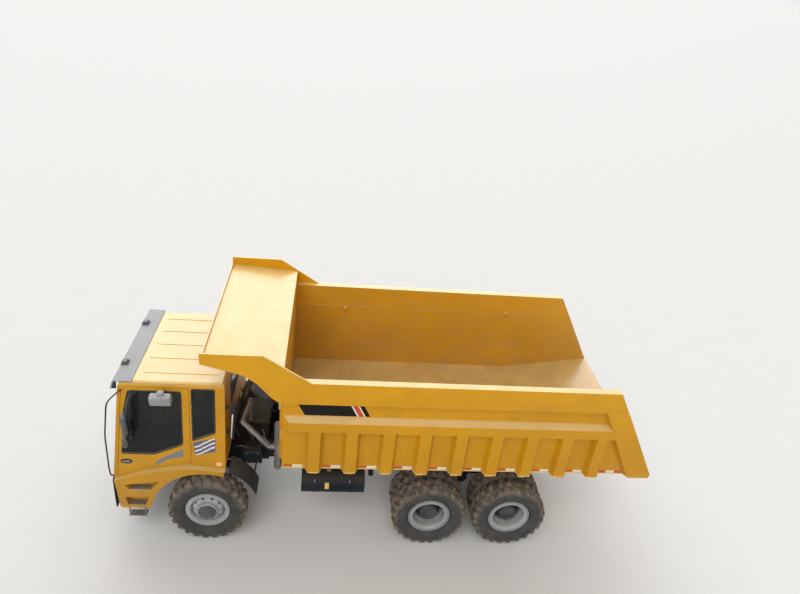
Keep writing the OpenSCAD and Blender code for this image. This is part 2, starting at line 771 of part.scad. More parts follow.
// A thin pane that fills an outline in a wall of the cab
module pane_y(side) {
    intersection() {
        difference() {
            cab_volume(14);
            cab_volume(22);
        }
        across((side > 0) ? 1000 : -1500, (side > 0) ? 1500 : -1000) offset(delta = -seat_gap) children();
    }
}

module windscreen() {
    color(glass_tint) intersection() {
        difference() {
            cab_volume(14);
            cab_volume(22);
        }
        along(cab_front_x - 260, cab_front_x + 50) offset(delta = -seat_gap) windscreen_outline();
    }
}

module cab_rear_glass() {
    color(glass_tint) {
        intersection() {
            difference() {
                cab_volume(14);
                cab_volume(22);
            }
            along(cab_rear_x - 20, cab_rear_x + 60) offset(delta = -seat_gap) rear_window();
        }
        for (s = [-1, 1]) pane_y(s) quarter_window();
    }
}

// The door takes only the side wall's part of the cab, without floor or roof
module door() {
    color(yellow) difference() {
        union() {
            intersection() {
                difference() {
                    cab_volume(0);
                    along(cab_rear_x - 100, cab_front_x + 100) cab_cross_outline(cab_wall);
                }
                across(1000, 1500) difference() {
                    door_outline(door_gap);
                    door_window();
                }
            }
            hinge_halves(1);
        }
        hinge_pins(door_pin_r + run_gap);
    }
}

module door_left() { door(); }
module door_right() { mirror([0, 1, 0]) door(); }
module door_left_glass() { color(glass_tint) pane_y(1) door_window(); }
module door_right_glass() { color(glass_tint) pane_y(-1) door_window(); }

// Tall mirrors on a bent arm ahead of the window, and the kerb mirror over it, all carried by the door
arm_y1 = 1500;
module door_mirrors() {
    low = [4366, 1250, 1700];
    foot = [4366, arm_y1, 1700];
    head = [4287, arm_y1, 2930];
    high = [4287, 1120, 3010];
    color("#a9adb0") difference() {
        union() {
            bent_rod([low, foot, head, high], 14);
            // Main mirror and wide mirror: [z, height, width]
            for (m = [[2500, 430, 200], [2020, 240, 200]])
                translate([head[0] + (head[2] - m[0]) * 0.064, arm_y1, m[0]]) rotate([0, 3.7, 8])
                    along(-45, 15) offset(r = 30) square([m[2] - 60, m[1] - 60], center = true);
            // Kerb mirror
            translate([3760, 1390, 3030]) rotate([-15, 0, 0]) along(-160, 160)
                offset(r = 25) polygon([[-70, -45], [60, -55], [60, 45], [-50, 55]]);
            rod([3760, 1390, 3040], [3760, 1110, 3020], 16);
        }
        cab_volume(-seat_gap);
    }
}

module door_left_mirrors() { door_mirrors(); }
module door_right_mirrors() { mirror([0, 1, 0]) door_mirrors(); }

// Peak over the windscreen, seated on the roof's front edge
module sun_visor() {
    half = cab_half - cab_lean * (cab_top - cab_ref_z) + 6;
    brow = front_face_x(cab_top);
    color("#8d97a0") difference() {
        across(-half, half) polygon([[brow - 230, cab_top], [brow - 230, cab_top + 14],
            [brow + 60, cab_top + 20], [brow + 120, cab_top - 140], [brow + 106, cab_top - 144],
            [brow + 45, cab_top]]);
        cab_volume(0);
    }
}

// Upright rails at the front corners, with feet on the front face
rail_x = 4706;
rail_tube_r = 14;
grab_rail_y = 1395;
grab_rail_low = 1300;
grab_rail_high = 2900;

module front_grab_rails() {
    color(dark) both_sides() union() {
        translate([rail_x, grab_rail_y, grab_rail_low])
            cylinder(r = rail_tube_r, h = grab_rail_high - grab_rail_low, $fn = 24);
        for (z = [grab_rail_low + 20, grab_rail_high - 20]) difference() {
            block([front_face_x(z) - 40, 1090, z - 10], [rail_x, grab_rail_y, z + 10]);
            cab_volume(0);
        }
    }
}

grille_low = rail_top + 12;

// Front grille between the rails, a frame with cross slats
module front_grille() {
    slat_pitch = 58;
    mouth = cover_half - 30 - seat_gap;
    color(dark) intersection() {
        difference() {
            across(-bed_w, bed_w) cab_side_outline(4);
            across(-bed_w, bed_w) cab_side_outline(30);
        }
        along(cab_front_x - 120, cab_front_x) difference() {
            polygon([[-mouth, grille_low], [mouth, grille_low], [mouth, cover_top - 30 - seat_gap],
                [-mouth, cover_top - 30 - seat_gap]]);
            for (z = [grille_low + 30 : slat_pitch : cover_top - 90]) for (s = [-1, 1])
                polygon([[s * 20, z], [s * (mouth - 30), z], [s * (mouth - 30), z + slat_pitch - 22],
                    [s * 20, z + slat_pitch - 22]]);
        }
    }
}

bumper_back_x = 4652;
bumper_front_x = 4700;
bumper_low_z = 640;
bumper_top_z = 1248;
tow_drop = 50;
tow_set = 15;
lamp_low = [1000, 900];
lamp_high = [1290, 1060];
lamp_recess = 20;

module headlamps() {
    color("#d8dcde") both_sides() along(bumper_front_x - lamp_recess, bumper_front_x - 4)
        polygon([[lamp_low[0] + 1, lamp_low[1] + 1], [lamp_high[0] - 1, lamp_low[1] + 1],
            [lamp_high[0] - 1, lamp_high[1] - 1], [lamp_low[0] + 1, lamp_high[1] - 1]]);
}

// Floors of the fender's two step recesses
recess_floor = [1047, 680];

// Toothed treads on those floors, and the hanging step below: [x0, x1, z of the base]
step_treads = [[4075, 4410, recess_floor[0]], [4190, 4450, recess_floor[1]], [4180, 4480, 420]];
tread_t = 20;
tooth_pitch = 44;

module serrated_tread(t, y0, y1) {
    teeth = floor((t[1] - t[0]) / tooth_pitch);
    across(y0, y1) polygon(concat([[t[0], t[2]], [t[1], t[2]], [t[1], t[2] + tread_t / 2]],
        [for (i = [teeth - 1 : -1 : 0]) for (p = [[0.9, 1], [0.5, 1], [0.4, 0.5]])
            [t[0] + (i + p[0]) * tooth_pitch, t[2] + p[1] * tread_t]],
        [[t[0], t[2] + tread_t / 2]]));
}

module cab_steps() {
    color(steel) both_sides() {
        for (i = [0, 1]) translate([0, 0, seat_gap])
            serrated_tread(step_treads[i], fender_y - recess_depth + recess_t + seat_gap, fender_y - 12);
        let (t = step_treads[2]) union() {
            serrated_tread(t, fender_y - fender_t - 120, fender_y);
            for (x = [t[0], t[1] - 30])
                block([x, fender_y - 40, t[2]], [x + 30, fender_y - 30, fender_foot_z]);
        }
    }
}

// Seats on their plinths, the dashboard, and the steering wheel on its column
seat_y = 900;
wheel_at = [4110, seat_y, 2110];
module cab_interior() {
    color("#3b3a38") {
        both_sides() union() {
            intersection() {
                block([3560, seat_y - 200, cab_ref_z - 50], [3980, seat_y + 200, 1760]);
                cab_volume(cab_wall + seat_gap);
            }
            block([3520, seat_y - 250, 1759], [4020, seat_y + 250, 1900]);
            across(seat_y - 240, seat_y + 240)
                polygon([[3480, 1899], [3630, 1899], [3560, 2560], [3440, 2560]]);
            across(seat_y - 130, seat_y + 130)
                polygon([[3440, 2559], [3550, 2559], [3530, 2760], [3440, 2760]]);
        }
        union() {
            across(-1180, 1180) polygon([[4260, cover_top], [4330, 2010], [4540, 1930], [4580, cover_top]]);
            rod([4345, seat_y, 1912], wheel_at, 22);
            translate(wheel_at) rotate([0, -50, 0]) {
                rotate_extrude($fn = 48) translate([225, 0]) circle(r = 14, $fn = 24);
                for (a = [60, 180, 300]) rotate([0, 90, a]) cylinder(r = 9, h = 225, $fn = 24);
                translate([0, 0, -15]) cylinder(r = 45, h = 30, $fn = 32);
            }
        }
    }
}

// FENDERS AND BUMPER

// Radius of the wheel arch at an angle up from straight ahead
function arch_radius(a) = arch_r + arch_spread * pow(max(0, (90 - a) / 90), 1.3);

fender_foot_z = 620;

module fender_outline() {
    polygon(concat([for (i = [0 : 4]) ledge_line[i]], [[4605, fender_foot_z + 40], [4565, fender_foot_z],
        [front_axle_x + 990, fender_foot_z]],
        [for (a = [0 : 8 : 112]) [front_axle_x + 10, axle_z] + arch_radius(a) * [cos(a), sin(a)]]));
}

// The two step recesses, upper and lower
module step_recess(i) {
    polygon((i == 0) ? [[4490, 1160], [3905, 1250], [4059, recess_floor[0]], [4424, recess_floor[0]]]
        : [[4500, 876], [4105, 884], [4176, recess_floor[1]], [4463, recess_floor[1]]]);
}

recess_depth = 130;
recess_t = 10;

module fender() {
    union() {
        difference() {
            across(fender_y - fender_t, fender_y) fender_outline();
            for (i = [0, 1]) across(fender_y - fender_t - 1, fender_y + 1) step_recess(i);
        }
        across(fender_y - 190, fender_y) difference() {
            fender_outline();
            offset(delta = -fender_t) fender_outline();
        }
        // Walls and back of the recesses
        for (i = [0, 1]) {
            across(fender_y - recess_depth, fender_y - 1) difference() {
                offset(delta = recess_t) step_recess(i);
                step_recess(i);
            }
            across(fender_y - recess_depth, fender_y - recess_depth + recess_t)
                offset(delta = recess_t) step_recess(i);
        }
    }
}

module fender_left() { color(yellow) fender(); }
module fender_right() { color(yellow) mirror([0, 1, 0]) fender(); }

module front_bumper() {
    half = fender_y;
    color(dark) union() {
        difference() {
            translate([0, 0, bumper_low_z]) linear_extrude(height = bumper_top_z - bumper_low_z)
                polygon([[bumper_back_x, -half], [bumper_back_x + 20, -half], [bumper_front_x, -half + 100],
                    [bumper_front_x, half - 100], [bumper_back_x + 20, half], [bumper_back_x, half]]);
            both_sides() along(bumper_front_x - lamp_recess, bumper_front_x + 10)
                polygon([lamp_low, [lamp_high[0], lamp_low[1]], lamp_high, [lamp_low[0], lamp_high[1]]]);
            along(bumper_front_x - 30, bumper_front_x + 10)
                polygon([[-620, 760], [620, 760], [620, 960], [-620, 960]]);
        }
        // Front tow ears with a bore for a cross pin
        for (y = [-tow_gap / 2, tow_gap / 2]) across(y - tow_ear_t / 2, y + tow_ear_t / 2)
            translate([bumper_back_x - tow_set, bumper_low_z - tow_drop]) difference() {
                rotate([0, 0, 90]) flat_ear([tow_drop + 60, 0], [0, 0]);
                circle(r = tow_r, $fn = 48);
            }
        // Stays to the ends of the frame rails
        both_sides() block([frame_front_x, rail_y - rail_flange, rail_low],
            [bumper_back_x + 1, rail_y, bumper_top_z]);
    }
}

tank_r = 225;
tank_y = 1100;
tank_z = 1055;
tank_x = [350, 1490];
box_tank_low = [300, -1300, 800];
box_tank_high = [1300, -650, 1300];

module side_tanks() {
    color(dark) {
        union() {
            translate([tank_x[0], tank_y, tank_z]) rotate([0, 90, 0])
                cylinder(r = tank_r, h = tank_x[1] - tank_x[0], $fn = 48);
            for (x = [tank_x[0] + 180, tank_x[1] - 240])
                block([x, rail_y, tank_z - 20], [x + 60, tank_y - tank_r + 20, tank_z + 160]);
        }
        union() {
            block(box_tank_low, box_tank_high);
            for (x = [box_tank_low[0] + 120, box_tank_high[0] - 180])
                block([x, box_tank_high[1] - 1, 1080], [x + 60, -rail_y, 1240]);
        }
    }
}

guard_r = 880;
guard_t = 14;

module mudguards() {
    inner_r = guard_r - guard_t;
    stay_angle = 150;
    color("#3d4550") both_sides() translate([front_axle_x, 0, axle_z]) union() {
        across(1000, 1420) polygon(concat([for (a = [114 : 6 : 162]) guard_r * [cos(a), sin(a)]],
            [for (a = [162 : -6 : 114]) inner_r * [cos(a), sin(a)]]));
        bar_y((guard_r - 2) * cos(stay_angle), (guard_r - 2) * sin(stay_angle), 16, rail_y, 1200);
    }
}

module tail_lamps() {
    back = frame_rear_x - end_plate_t;
    color("#b02318") both_sides()
        block([back - 40, tail_half - 300, tail_bar_low + 25], [back, tail_half - 20, tail_bar_low + 125]);
}

// LOAD BED

bed_half = bed_w / 2;
sheet_y = bed_half - rib_depth;
rail_bottom_z = 3220;
beam_low_z = 2660;
beam_top_z = 2850;
flank = 50;
post_foot = [-4308, bed_low_z];
post_head = [-3570, rail_bottom_z + 10];
wall_rib_y = [450, 1350];
wall_top_z = 3870;

// Slanted rear edge of the side: its X at a height, above the foot's small corner cut
edge_foot_z = bed_low_z + 80;
function rear_edge_x(z) =
    bed_rear_x + (z - edge_foot_z) * (bed_rear_top_x - bed_rear_x) / (bed_top_z - edge_foot_z);

// The part of the side wall's plane that lies ahead of its slanted rear edge
module side_field() {
    polygon([[bed_front_x, bed_low_z], [bed_front_x, bed_top_z], [bed_rear_top_x, bed_top_z],
        [bed_rear_x, edge_foot_z], [bed_rear_x + 20, bed_low_z]]);
}

// A bar of constant section, drawn as [y, z], cut to the slanted rear edge
module side_bar() {
    intersection() {
        across(sheet_y - bed_t - 40, bed_half + 1) side_field();
        along(bed_rear_x - 10, bed_front_x) children();
    }
}

module bed_side() {
    across(sheet_y - bed_t, sheet_y) side_field();
    side_bar() polygon([[sheet_y - bed_t, rail_bottom_z - 20], [bed_half - 15, rail_bottom_z],
        [bed_half, rail_bottom_z + 200], [bed_half, bed_top_z], [sheet_y - bed_t, bed_top_z]]);
    // Waist beam, mitred at its front end
    intersection() {
        side_bar() polygon([[sheet_y - 1, beam_low_z], [bed_half, beam_low_z], [bed_half, beam_top_z],
            [sheet_y, beam_top_z + 75], [sheet_y - 1, beam_top_z + 75]]);
        translate([0, 0, beam_low_z - 10]) linear_extrude(height = beam_top_z - beam_low_z + 100)
            polygon([[bed_rear_x - 20, sheet_y - 5], [bed_front_x - 4, sheet_y - 5],
                [bed_front_x - rib_depth - 9, bed_half + 5], [bed_rear_x - 20, bed_half + 5]]);
    }
    // Ribs with sloping flanks
    rib_half = rib_w / 2;
    for (i = [0 : 8]) translate([rib_first_x - i * rib_pitch, 0, bed_low_z])
        linear_extrude(height = beam_low_z - bed_low_z + 1)
            polygon([[-rib_half - flank, sheet_y - 1], [rib_half + flank, sheet_y - 1],
                [rib_half + flank, sheet_y], [rib_half, bed_half], [-rib_half, bed_half],
                [-rib_half - flank, sheet_y]]);
    // Slanted rear post
    across(sheet_y - 1, bed_half) polygon([[rear_edge_x(rail_bottom_z), rail_bottom_z + 10],
        [bed_rear_x, edge_foot_z], [bed_rear_x + 20, bed_low_z], post_foot, post_head]);
    // Sloping flank along the post's front edge
    run = post_head - post_foot;
    intersection() {
        translate([post_foot[0], 0, post_foot[1]]) rotate([0, atan2(run[0], run[1]), 0])
            translate([0, 0, -100]) linear_extrude(height = norm(run) + 200)
                polygon([[-9, sheet_y - 4], [flank, sheet_y - 4], [flank, sheet_y], [-9, bed_half - 10]]);
        block([bed_rear_x, sheet_y - 10, bed_low_z], [bed_front_x, bed_half + 10, rail_bottom_z + 5]);
    }
}

floor_z = 1860;
floor_low = floor_z - bed_t - 10;
wall_bar_z = [2380, 3050];
tail_break_x = -2700;
tail_end_z = 2180;

module bed_body() {
    color(yellow) union() {
        both_sides() bed_side();
        across(-sheet_y + 1, sheet_y - 1) polygon([[bed_front_x, floor_low], [bed_front_x, floor_z],
            [tail_break_x, floor_z], [rear_edge_x(tail_end_z), tail_end_z],
            [rear_edge_x(tail_end_z) - 10, tail_end_z - bed_t - 10], [tail_break_x, floor_low]]);
        block([bed_front_x - bed_t, -sheet_y + 1, floor_z - 20], [bed_front_x, sheet_y - 1, wall_top_z]);
        // Ribs on the outside of the front wall
        both_sides() for (y = wall_rib_y)
            block([bed_front_x - 1, y - 60, floor_z - 20], [bed_front_x + 60, y + 60, wall_top_z - 10]);
        for (z = wall_bar_z)
            block([bed_front_x - 1, 10 - sheet_y, z], [bed_front_x + 45, sheet_y - 10, z + 110]);
    }
}

// Underside of the canopy's plate, which rises a little to the front
canopy_rear_x = bed_front_x - bed_t;
function canopy_low(x) = wall_top_z + 80 * (x - canopy_rear_x) / (canopy_front_x - canopy_rear_x);

module bed_canopy() {
    x0 = bed_front_x;
    board_t = 30;
    color(yellow) union() {
        both_sides() across(bed_half - board_t, bed_half) polygon([[canopy_front_x, 3930],
            [canopy_front_x, canopy_top_z], [2120, canopy_top_z], [1372, bed_top_z], [x0, bed_top_z],
            [x0, rail_bottom_z], [1980, 3330], [2220, 3610], [2420, 3750], [2730, 3840]]);
        across(board_t - bed_half, bed_half - board_t)
            polygon([[canopy_rear_x, wall_top_z], [canopy_rear_x, wall_top_z + bed_t],
                [canopy_front_x, canopy_low(canopy_front_x) + bed_t],
                [canopy_front_x, canopy_low(canopy_front_x)]]);
        // Tapered bearers under the plate
        both_sides() for (y = wall_rib_y) across(y - 30, y + 30)
            polygon([[x0 + 60, canopy_low(x0 + 60) + 1], [x0 + 60, wall_top_z - 240],
                [canopy_front_x - 110, wall_top_z],
                [canopy_front_x - 30, canopy_low(canopy_front_x - 30) + 1]]);
        block([canopy_front_x - 20, board_t - bed_half, 3930], [canopy_front_x, bed_half - board_t, 4010]);
    }
}

beam_y0 = rail_y - 95;
beam_y1 = rail_y + 5;
beam_bottom = rail_top + seat_gap;

bearer_low = 1640;
bearer_half = 60;
ear_front_x = hoist_eye_x + 160;
ear_rear_x = hoist_eye_x - 140;

module bed_subframe() {
    color(yellow) {
        both_sides() block([-3140, beam_y0, beam_bottom], [bed_front_x - 80, beam_y1, bearer_low]);
        // Rear cross bearer with the hinge lugs
        union() {
            block([-3200, -sheet_y + bed_t, bearer_low], [-3080, sheet_y - bed_t, 1885]);
            both_sides() across(rail_y + 30, rail_y + 90) difference() {
                union() {
                    polygon([[-3090, bearer_low], [-3090, 1790], [hinge_x - 60, hinge_z + 95],
                        [hinge_x + 60, hinge_z - 90]]);
                    translate([hinge_x, hinge_z]) circle(r = 105, $fn = 48);
                }
                translate([hinge_x, hinge_z]) circle(r = hinge_r + run_gap, $fn = 48);
            }
        }
        // Cross plate with the ears of the hoist rods
        union() {
            block([ear_rear_x, -beam_y1, bearer_low], [ear_front_x, beam_y1, bearer_low + 60]);
            for (s = [-1, 1], side = [-1, 1]) let (y = side * hoist_y + s * 65)
                across(y - 10, y + 10) polygon([[ear_rear_x, bearer_low + 40], [ear_front_x, bearer_low + 40],
                    [hoist_eye_x + 60, hoist_eye_z - 80], [hoist_eye_x - 80, hoist_eye_z - 80]]);
        }
    }
}

// Cross bearers between the beams and the floor, one behind each pair of side ribs
module bed_bearers() {
    color(yellow) for (i = [0 : 9]) let (x = rib_first_x - i * rib_pitch) if (x > tail_break_x)
        block([x - bearer_half, -sheet_y + bed_t, bearer_low], [x + bearer_half, sheet_y - bed_t, floor_low]);
}

// HOIST CYLINDERS

hoist_dx = hoist_eye_x - hoist_foot_x;
hoist_dz = hoist_eye_z - hoist_foot_z;
hoist_len = norm([hoist_dx, hoist_dz]);
hoist_tilt = atan2(hoist_dx, hoist_dz);
barrel_len = hoist_len - 230;

// Local Z runs from the foot pivot to the rod's eye
module on_hoist(side) {
    translate([hoist_foot_x, side * hoist_y, hoist_foot_z]) rotate([0, hoist_tilt, 0]) children();
}

// A round bar across a hoist cylinder at a height along it
module hoist_pin(z, r, half) {
    translate([0, 0, z]) rotate([90, 0, 0]) translate([0, 0, -half]) cylinder(r = r, h = 2 * half, $fn = 48);
}

module hoist_barrels() {
    color("#55595e") for (side = [-1, 1]) on_hoist(side) difference() {
        union() {
            hoist_pin(0, 75, 50);
            translate([0, 0, 40]) cylinder(r = barrel_r, h = barrel_len - 40, $fn = 48);
        }
        hoist_pin(0, hoist_pin_r + run_gap, 60);
        translate([0, 0, 150]) cylinder(r = barrel_r - 15, h = barrel_len - 220, $fn = 48);
        translate([0, 0, 150]) cylinder(r = rod_r + run_gap, h = barrel_len, $fn = 48);
    }
}

module hoist_rods() {
    color("#c8ccd0") for (side = [-1, 1]) on_hoist(side) difference() {
        union() {
            translate([0, 0, 400]) cylinder(r = rod_r, h = hoist_len - 440, $fn = 48);
            translate([0, 0, 400]) cylinder(r = barrel_r - 15 - run_gap, h = 80, $fn = 48);
            hoist_pin(hoist_len, 70, 45);
        }
        hoist_pin(hoist_len, 36, 60);
    }
}

frame_rails();
cross_members();
hoist_foot();
frame_brackets();
front_bumper();
fender_left();
fender_right();
cab_shell();
cab_interior();
windscreen();
cab_rear_glass();
door_left();
door_right();
door_left_glass();
door_right_glass();
door_left_mirrors();
door_right_mirrors();
sun_visor();
front_grab_rails();
front_grille();
headlamps();
cab_steps();
engine_block();
radiator();
exhaust();
air_intake();
front_axle_beam();
front_springs();
knuckle_left();
knuckle_right();
track_rod();
front_left_rim();
front_left_tyre();
front_right_rim();
front_right_tyre();
rear_axles();
rear_springs();
prop_shafts();
rear_1_left_rims();
rear_1_left_tyres();
rear_1_right_rims();
rear_1_right_tyres();
rear_2_left_rims();
rear_2_left_tyres();
rear_2_right_rims();
rear_2_right_tyres();
side_tanks();
mudguards();
tail_lamps();
bed_body();
bed_canopy();
bed_subframe();
bed_bearers();
hoist_barrels();
hoist_rods();
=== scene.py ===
# %% [markdown]
# # Mining dump truck
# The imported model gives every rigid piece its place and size. This script dresses it: it adds tyres
# with a worked-out tread, seals, lamps, mirrors, nuts and hoses, and gives every surface a
# procedural material. All lengths are metres in the model's own frame: +X to the front, +Y to the
# left, +Z up.

import json
import math

import bmesh
import bpy
import numpy as np
from mathutils import Matrix, Vector

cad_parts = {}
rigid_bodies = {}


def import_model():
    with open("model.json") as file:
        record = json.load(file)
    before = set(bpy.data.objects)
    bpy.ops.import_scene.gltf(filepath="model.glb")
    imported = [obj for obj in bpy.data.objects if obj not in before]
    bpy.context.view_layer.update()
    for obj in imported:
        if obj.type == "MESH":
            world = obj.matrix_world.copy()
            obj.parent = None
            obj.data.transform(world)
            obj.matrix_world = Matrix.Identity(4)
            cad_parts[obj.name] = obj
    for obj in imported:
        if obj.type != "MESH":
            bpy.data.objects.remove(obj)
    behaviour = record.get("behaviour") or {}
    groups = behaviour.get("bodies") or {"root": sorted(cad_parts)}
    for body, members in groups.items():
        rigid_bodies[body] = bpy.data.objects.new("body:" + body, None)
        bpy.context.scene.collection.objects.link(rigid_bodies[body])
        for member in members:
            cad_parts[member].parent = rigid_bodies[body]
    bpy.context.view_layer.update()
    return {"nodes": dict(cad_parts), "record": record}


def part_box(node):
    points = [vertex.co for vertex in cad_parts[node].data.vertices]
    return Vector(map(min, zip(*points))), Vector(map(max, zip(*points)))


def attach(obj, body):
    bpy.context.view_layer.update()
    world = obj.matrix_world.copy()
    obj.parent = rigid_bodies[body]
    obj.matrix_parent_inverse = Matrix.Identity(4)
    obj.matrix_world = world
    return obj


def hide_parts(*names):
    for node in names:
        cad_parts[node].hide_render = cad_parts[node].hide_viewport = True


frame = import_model()
nodes = frame["nodes"]

# %% [markdown]
# ## Camera
# The photo is taken from above and to the left of the truck, a little turned about its own line of
# sight. Place, turn and focal length come from fitting a pinhole camera to the wheels, the rails
# and the cab's corners, so they are given here as real sizes and not found by eye.

# %% Camera at the photo's viewing angle
CAMERA_PLACE = Vector((1.24994, 9.75620, 9.63919))
CAMERA_YAW = math.radians(7.72925)
CAMERA_PITCH = math.radians(28.32762)
CAMERA_ROLL = math.radians(6.62943)
FOCAL_LENGTH_PIXELS = 634.5647
PHOTO_WIDTH_PIXELS = 800
SENSOR_WIDTH_MM = 36.0


def add_camera():
    """A camera whose columns are right, up and backward, each worked out from yaw, pitch and
    roll."""
    forward = Vector((
        -math.sin(CAMERA_YAW) * math.cos(CAMERA_PITCH),
        -math.cos(CAMERA_YAW) * math.cos(CAMERA_PITCH),
        -math.sin(CAMERA_PITCH),
    ))
    level_right = forward.cross(Vector((0, 0, 1))).normalized()
    level_up = level_right.cross(forward)
    right = math.cos(CAMERA_ROLL) * level_right + math.sin(CAMERA_ROLL) * level_up
    up = math.cos(CAMERA_ROLL) * level_up - math.sin(CAMERA_ROLL) * level_right
    data = bpy.data.cameras.new("photo_camera")
    data.sensor_fit = "HORIZONTAL"
    data.sensor_width = SENSOR_WIDTH_MM
    data.lens = FOCAL_LENGTH_PIXELS / PHOTO_WIDTH_PIXELS * SENSOR_WIDTH_MM
    camera = bpy.data.objects.new("photo_camera", data)
    turn = Matrix((right, up, -forward)).transposed().to_4x4()
    camera.matrix_world = Matrix.Translation(CAMERA_PLACE) @ turn
    bpy.context.scene.collection.objects.link(camera)
    bpy.context.scene.camera = camera
    return camera


photo_camera = add_camera()
print("lens:", round(photo_camera.data.lens, 3), "mm")

# %% [markdown]
# ## Floor and light
# A plain pale floor and an even, soft light stand in for the open pit under a cloudy sky. Lamps
# near the truck would leave a bright pool on the floor, so all light comes from far away: the world
# glows a little more towards the zenith, haze hides where the floor ends, one wide bright patch low
# in the sky is what the roof and the rails mirror towards the camera, and a sun as wide as a
# softbox gives the soft shadows.

# %% Floor and soft studio light
FLOOR_HALF = 3000.0
SKY_COLOUR = (0.97, 0.98, 1.0, 1.0)
HORIZON_GLOW = 0.50
ZENITH_GLOW = 0.68
HAZE_GLOW = 0.38
BRIGHT_PATCH_WAY = Vector((0.10, -0.84, 0.54)).normalized()
BRIGHT_PATCH_GLOW = 2.4
BRIGHT_PATCH_EDGES = (0.62, 0.98)
HAZE_HEIGHTS = (0.02, 0.16)
SUN_COLOUR = (1.0, 0.985, 0.95)
SUN_WAY = Vector((3.0, 8.0, 8.5)).normalized()
SUN_POWER = 1.45
SUN_WIDTH = math.radians(48)


def add_floor():
    """One flat square at Z 0."""
    mesh = bpy.data.meshes.new("studio_floor")
    corners = [(-1, -1), (1, -1), (1, 1), (-1, 1)]
    mesh.from_pydata([(FLOOR_HALF * x, FLOOR_HALF * y, 0) for x, y in corners], [], [(0, 1, 2, 3)])
    floor = bpy.data.objects.new("studio_floor", mesh)
    bpy.context.scene.collection.objects.link(floor)
    return floor


def ranged(tree, value, low, high, to_low=0.0, to_high=1.0, smooth=False):
    """A value taken from low..high to to_low..to_high and held there outside, with soft ends if
    smooth."""
    node = tree.nodes.new("ShaderNodeMapRange")
    node.interpolation_type = "SMOOTHSTEP" if smooth else "LINEAR"
    for name, number in zip(("From Min", "From Max", "To Min", "To Max"),
                            (low, high, to_low, to_high)):
        node.inputs[name].default_value = number
    tree.links.new(value, node.inputs["Value"])
    return node.outputs["Result"]


def combined(tree, operation, first, second):
    """Two values joined by an operation of the Math node, such as ADD or MULTIPLY."""
    node = tree.nodes.new("ShaderNodeMath")
    node.operation = operation
    tree.links.new(first, node.inputs[0])
    tree.links.new(second, node.inputs[1])
    return node.outputs["Value"]


def add_sky():
    """Glow by direction: a slow rise with height, haze at the horizon and a patch about one
    direction."""
    world = bpy.data.worlds.new("soft_sky")
    world.use_nodes = True
    tree = world.node_tree
    way = tree.nodes.new("ShaderNodeTexCoord").outputs["Generated"]
    split = tree.nodes.new("ShaderNodeSeparateXYZ")
    tree.links.new(way, split.inputs["Vector"])
    near = tree.nodes.new("ShaderNodeVectorMath")
    near.operation = "DOT_PRODUCT"
    near.inputs[1].default_value = BRIGHT_PATCH_WAY
    tree.links.new(way, near.inputs[0])
    rise = ranged(tree, split.outputs["Z"], 0.0, 1.0, HORIZON_GLOW, ZENITH_GLOW)
    haze = ranged(tree, split.outputs["Z"], *HAZE_HEIGHTS, HAZE_GLOW, 0.0, True)
    patch = ranged(tree, near.outputs["Value"], *BRIGHT_PATCH_EDGES, 0.0, BRIGHT_PATCH_GLOW, True)
    total = combined(tree, "ADD", combined(tree, "ADD", rise, haze), patch)
    tree.links.new(total, tree.nodes["Background"].inputs["Strength"])
    tree.nodes["Background"].inputs["Color"].default_value = SKY_COLOUR
    bpy.context.scene.world = world


def add_soft_sun():
    """A sun whose disc is many degrees wide, aimed from SUN_WAY at the truck."""
    data = bpy.data.lights.new("soft_sun", "SUN")
    data.energy = SUN_POWER
    data.angle = SUN_WIDTH
    data.color = SUN_COLOUR
    sun = bpy.data.objects.new("soft_sun", data)
    sun.matrix_world = SUN_WAY.to_track_quat("Z", "Y").to_matrix().to_4x4()
    bpy.context.scene.collection.objects.link(sun)


studio_floor = add_floor()
add_sky()
add_soft_sun()
bpy.context.scene.view_settings.view_transform = "Standard"
print("floor half:", FLOOR_HALF, "sun width:", round(math.degrees(SUN_WIDTH)), "degrees")

# %% [markdown]
# ## Building blocks for materials
# Every finish is a Principled shader whose colour comes from noise in Object coordinates. The
# finished pieces all sit at the origin, so a pattern in these coordinates stays on its piece and
# doesn't slide.

# %% Material helpers


def new_material(name, roughness, metallic=0.0):
    """A material with one Principled shader whose uniform values are set on its own sockets."""
    material = bpy.data.materials.new(name)
    material.use_nodes = True
    shader = material.node_tree.nodes["Principled BSDF"]
    shader.inputs["Roughness"].default_value = roughness
    shader.inputs["Metallic"].default_value = metallic
    return material, shader


def object_point(material, stretch=(1, 1, 1)):
    """Object coordinates, scaled along each axis."""
    tree = material.node_tree
    source = tree.nodes.new("ShaderNodeTexCoord")
    mapping = tree.nodes.new("ShaderNodeMapping")
    mapping.inputs["Scale"].default_value = stretch
    tree.links.new(source.outputs["Object"], mapping.inputs["Vector"])
    return mapping.outputs["Vector"]


def noise(material, scale, detail=4.0, stretch=(1, 1, 1), roughness=0.55):
    """Fractal noise between about 0.3 and 0.7."""
    tree = material.node_tree
    node = tree.nodes.new("ShaderNodeTexNoise")
    node.inputs["Scale"].default_value = scale
    node.inputs["Detail"].default_value = detail
    node.inputs["Roughness"].default_value = roughness
    tree.links.new(object_point(material, stretch), node.inputs["Vector"])
    return node.outputs["Fac"]


def spread(material, value, low, high, to_low=0.0, to_high=1.0):
    """The same as ranged, for a material."""
    return ranged(material.node_tree, value, low, high, to_low, to_high)


def multiply(material, first, second):
    """The product of two values."""
    return combined(material.node_tree, "MULTIPLY", first, second)


def mixed(material, share, under, over):
    """A colour between under and over; each is a colour or an earlier output."""
    tree = material.node_tree
    node = tree.nodes.new("ShaderNodeMix")
    node.data_type = "RGBA"
    tree.links.new(share, node.inputs["Factor"])
    for socket, colour in ((node.inputs["A"], under), (node.inputs["B"], over)):
        if isinstance(colour, tuple):
            socket.default_value = (*colour, 1.0)
        else:
            tree.links.new(colour, socket)
    return node.outputs["Result"]


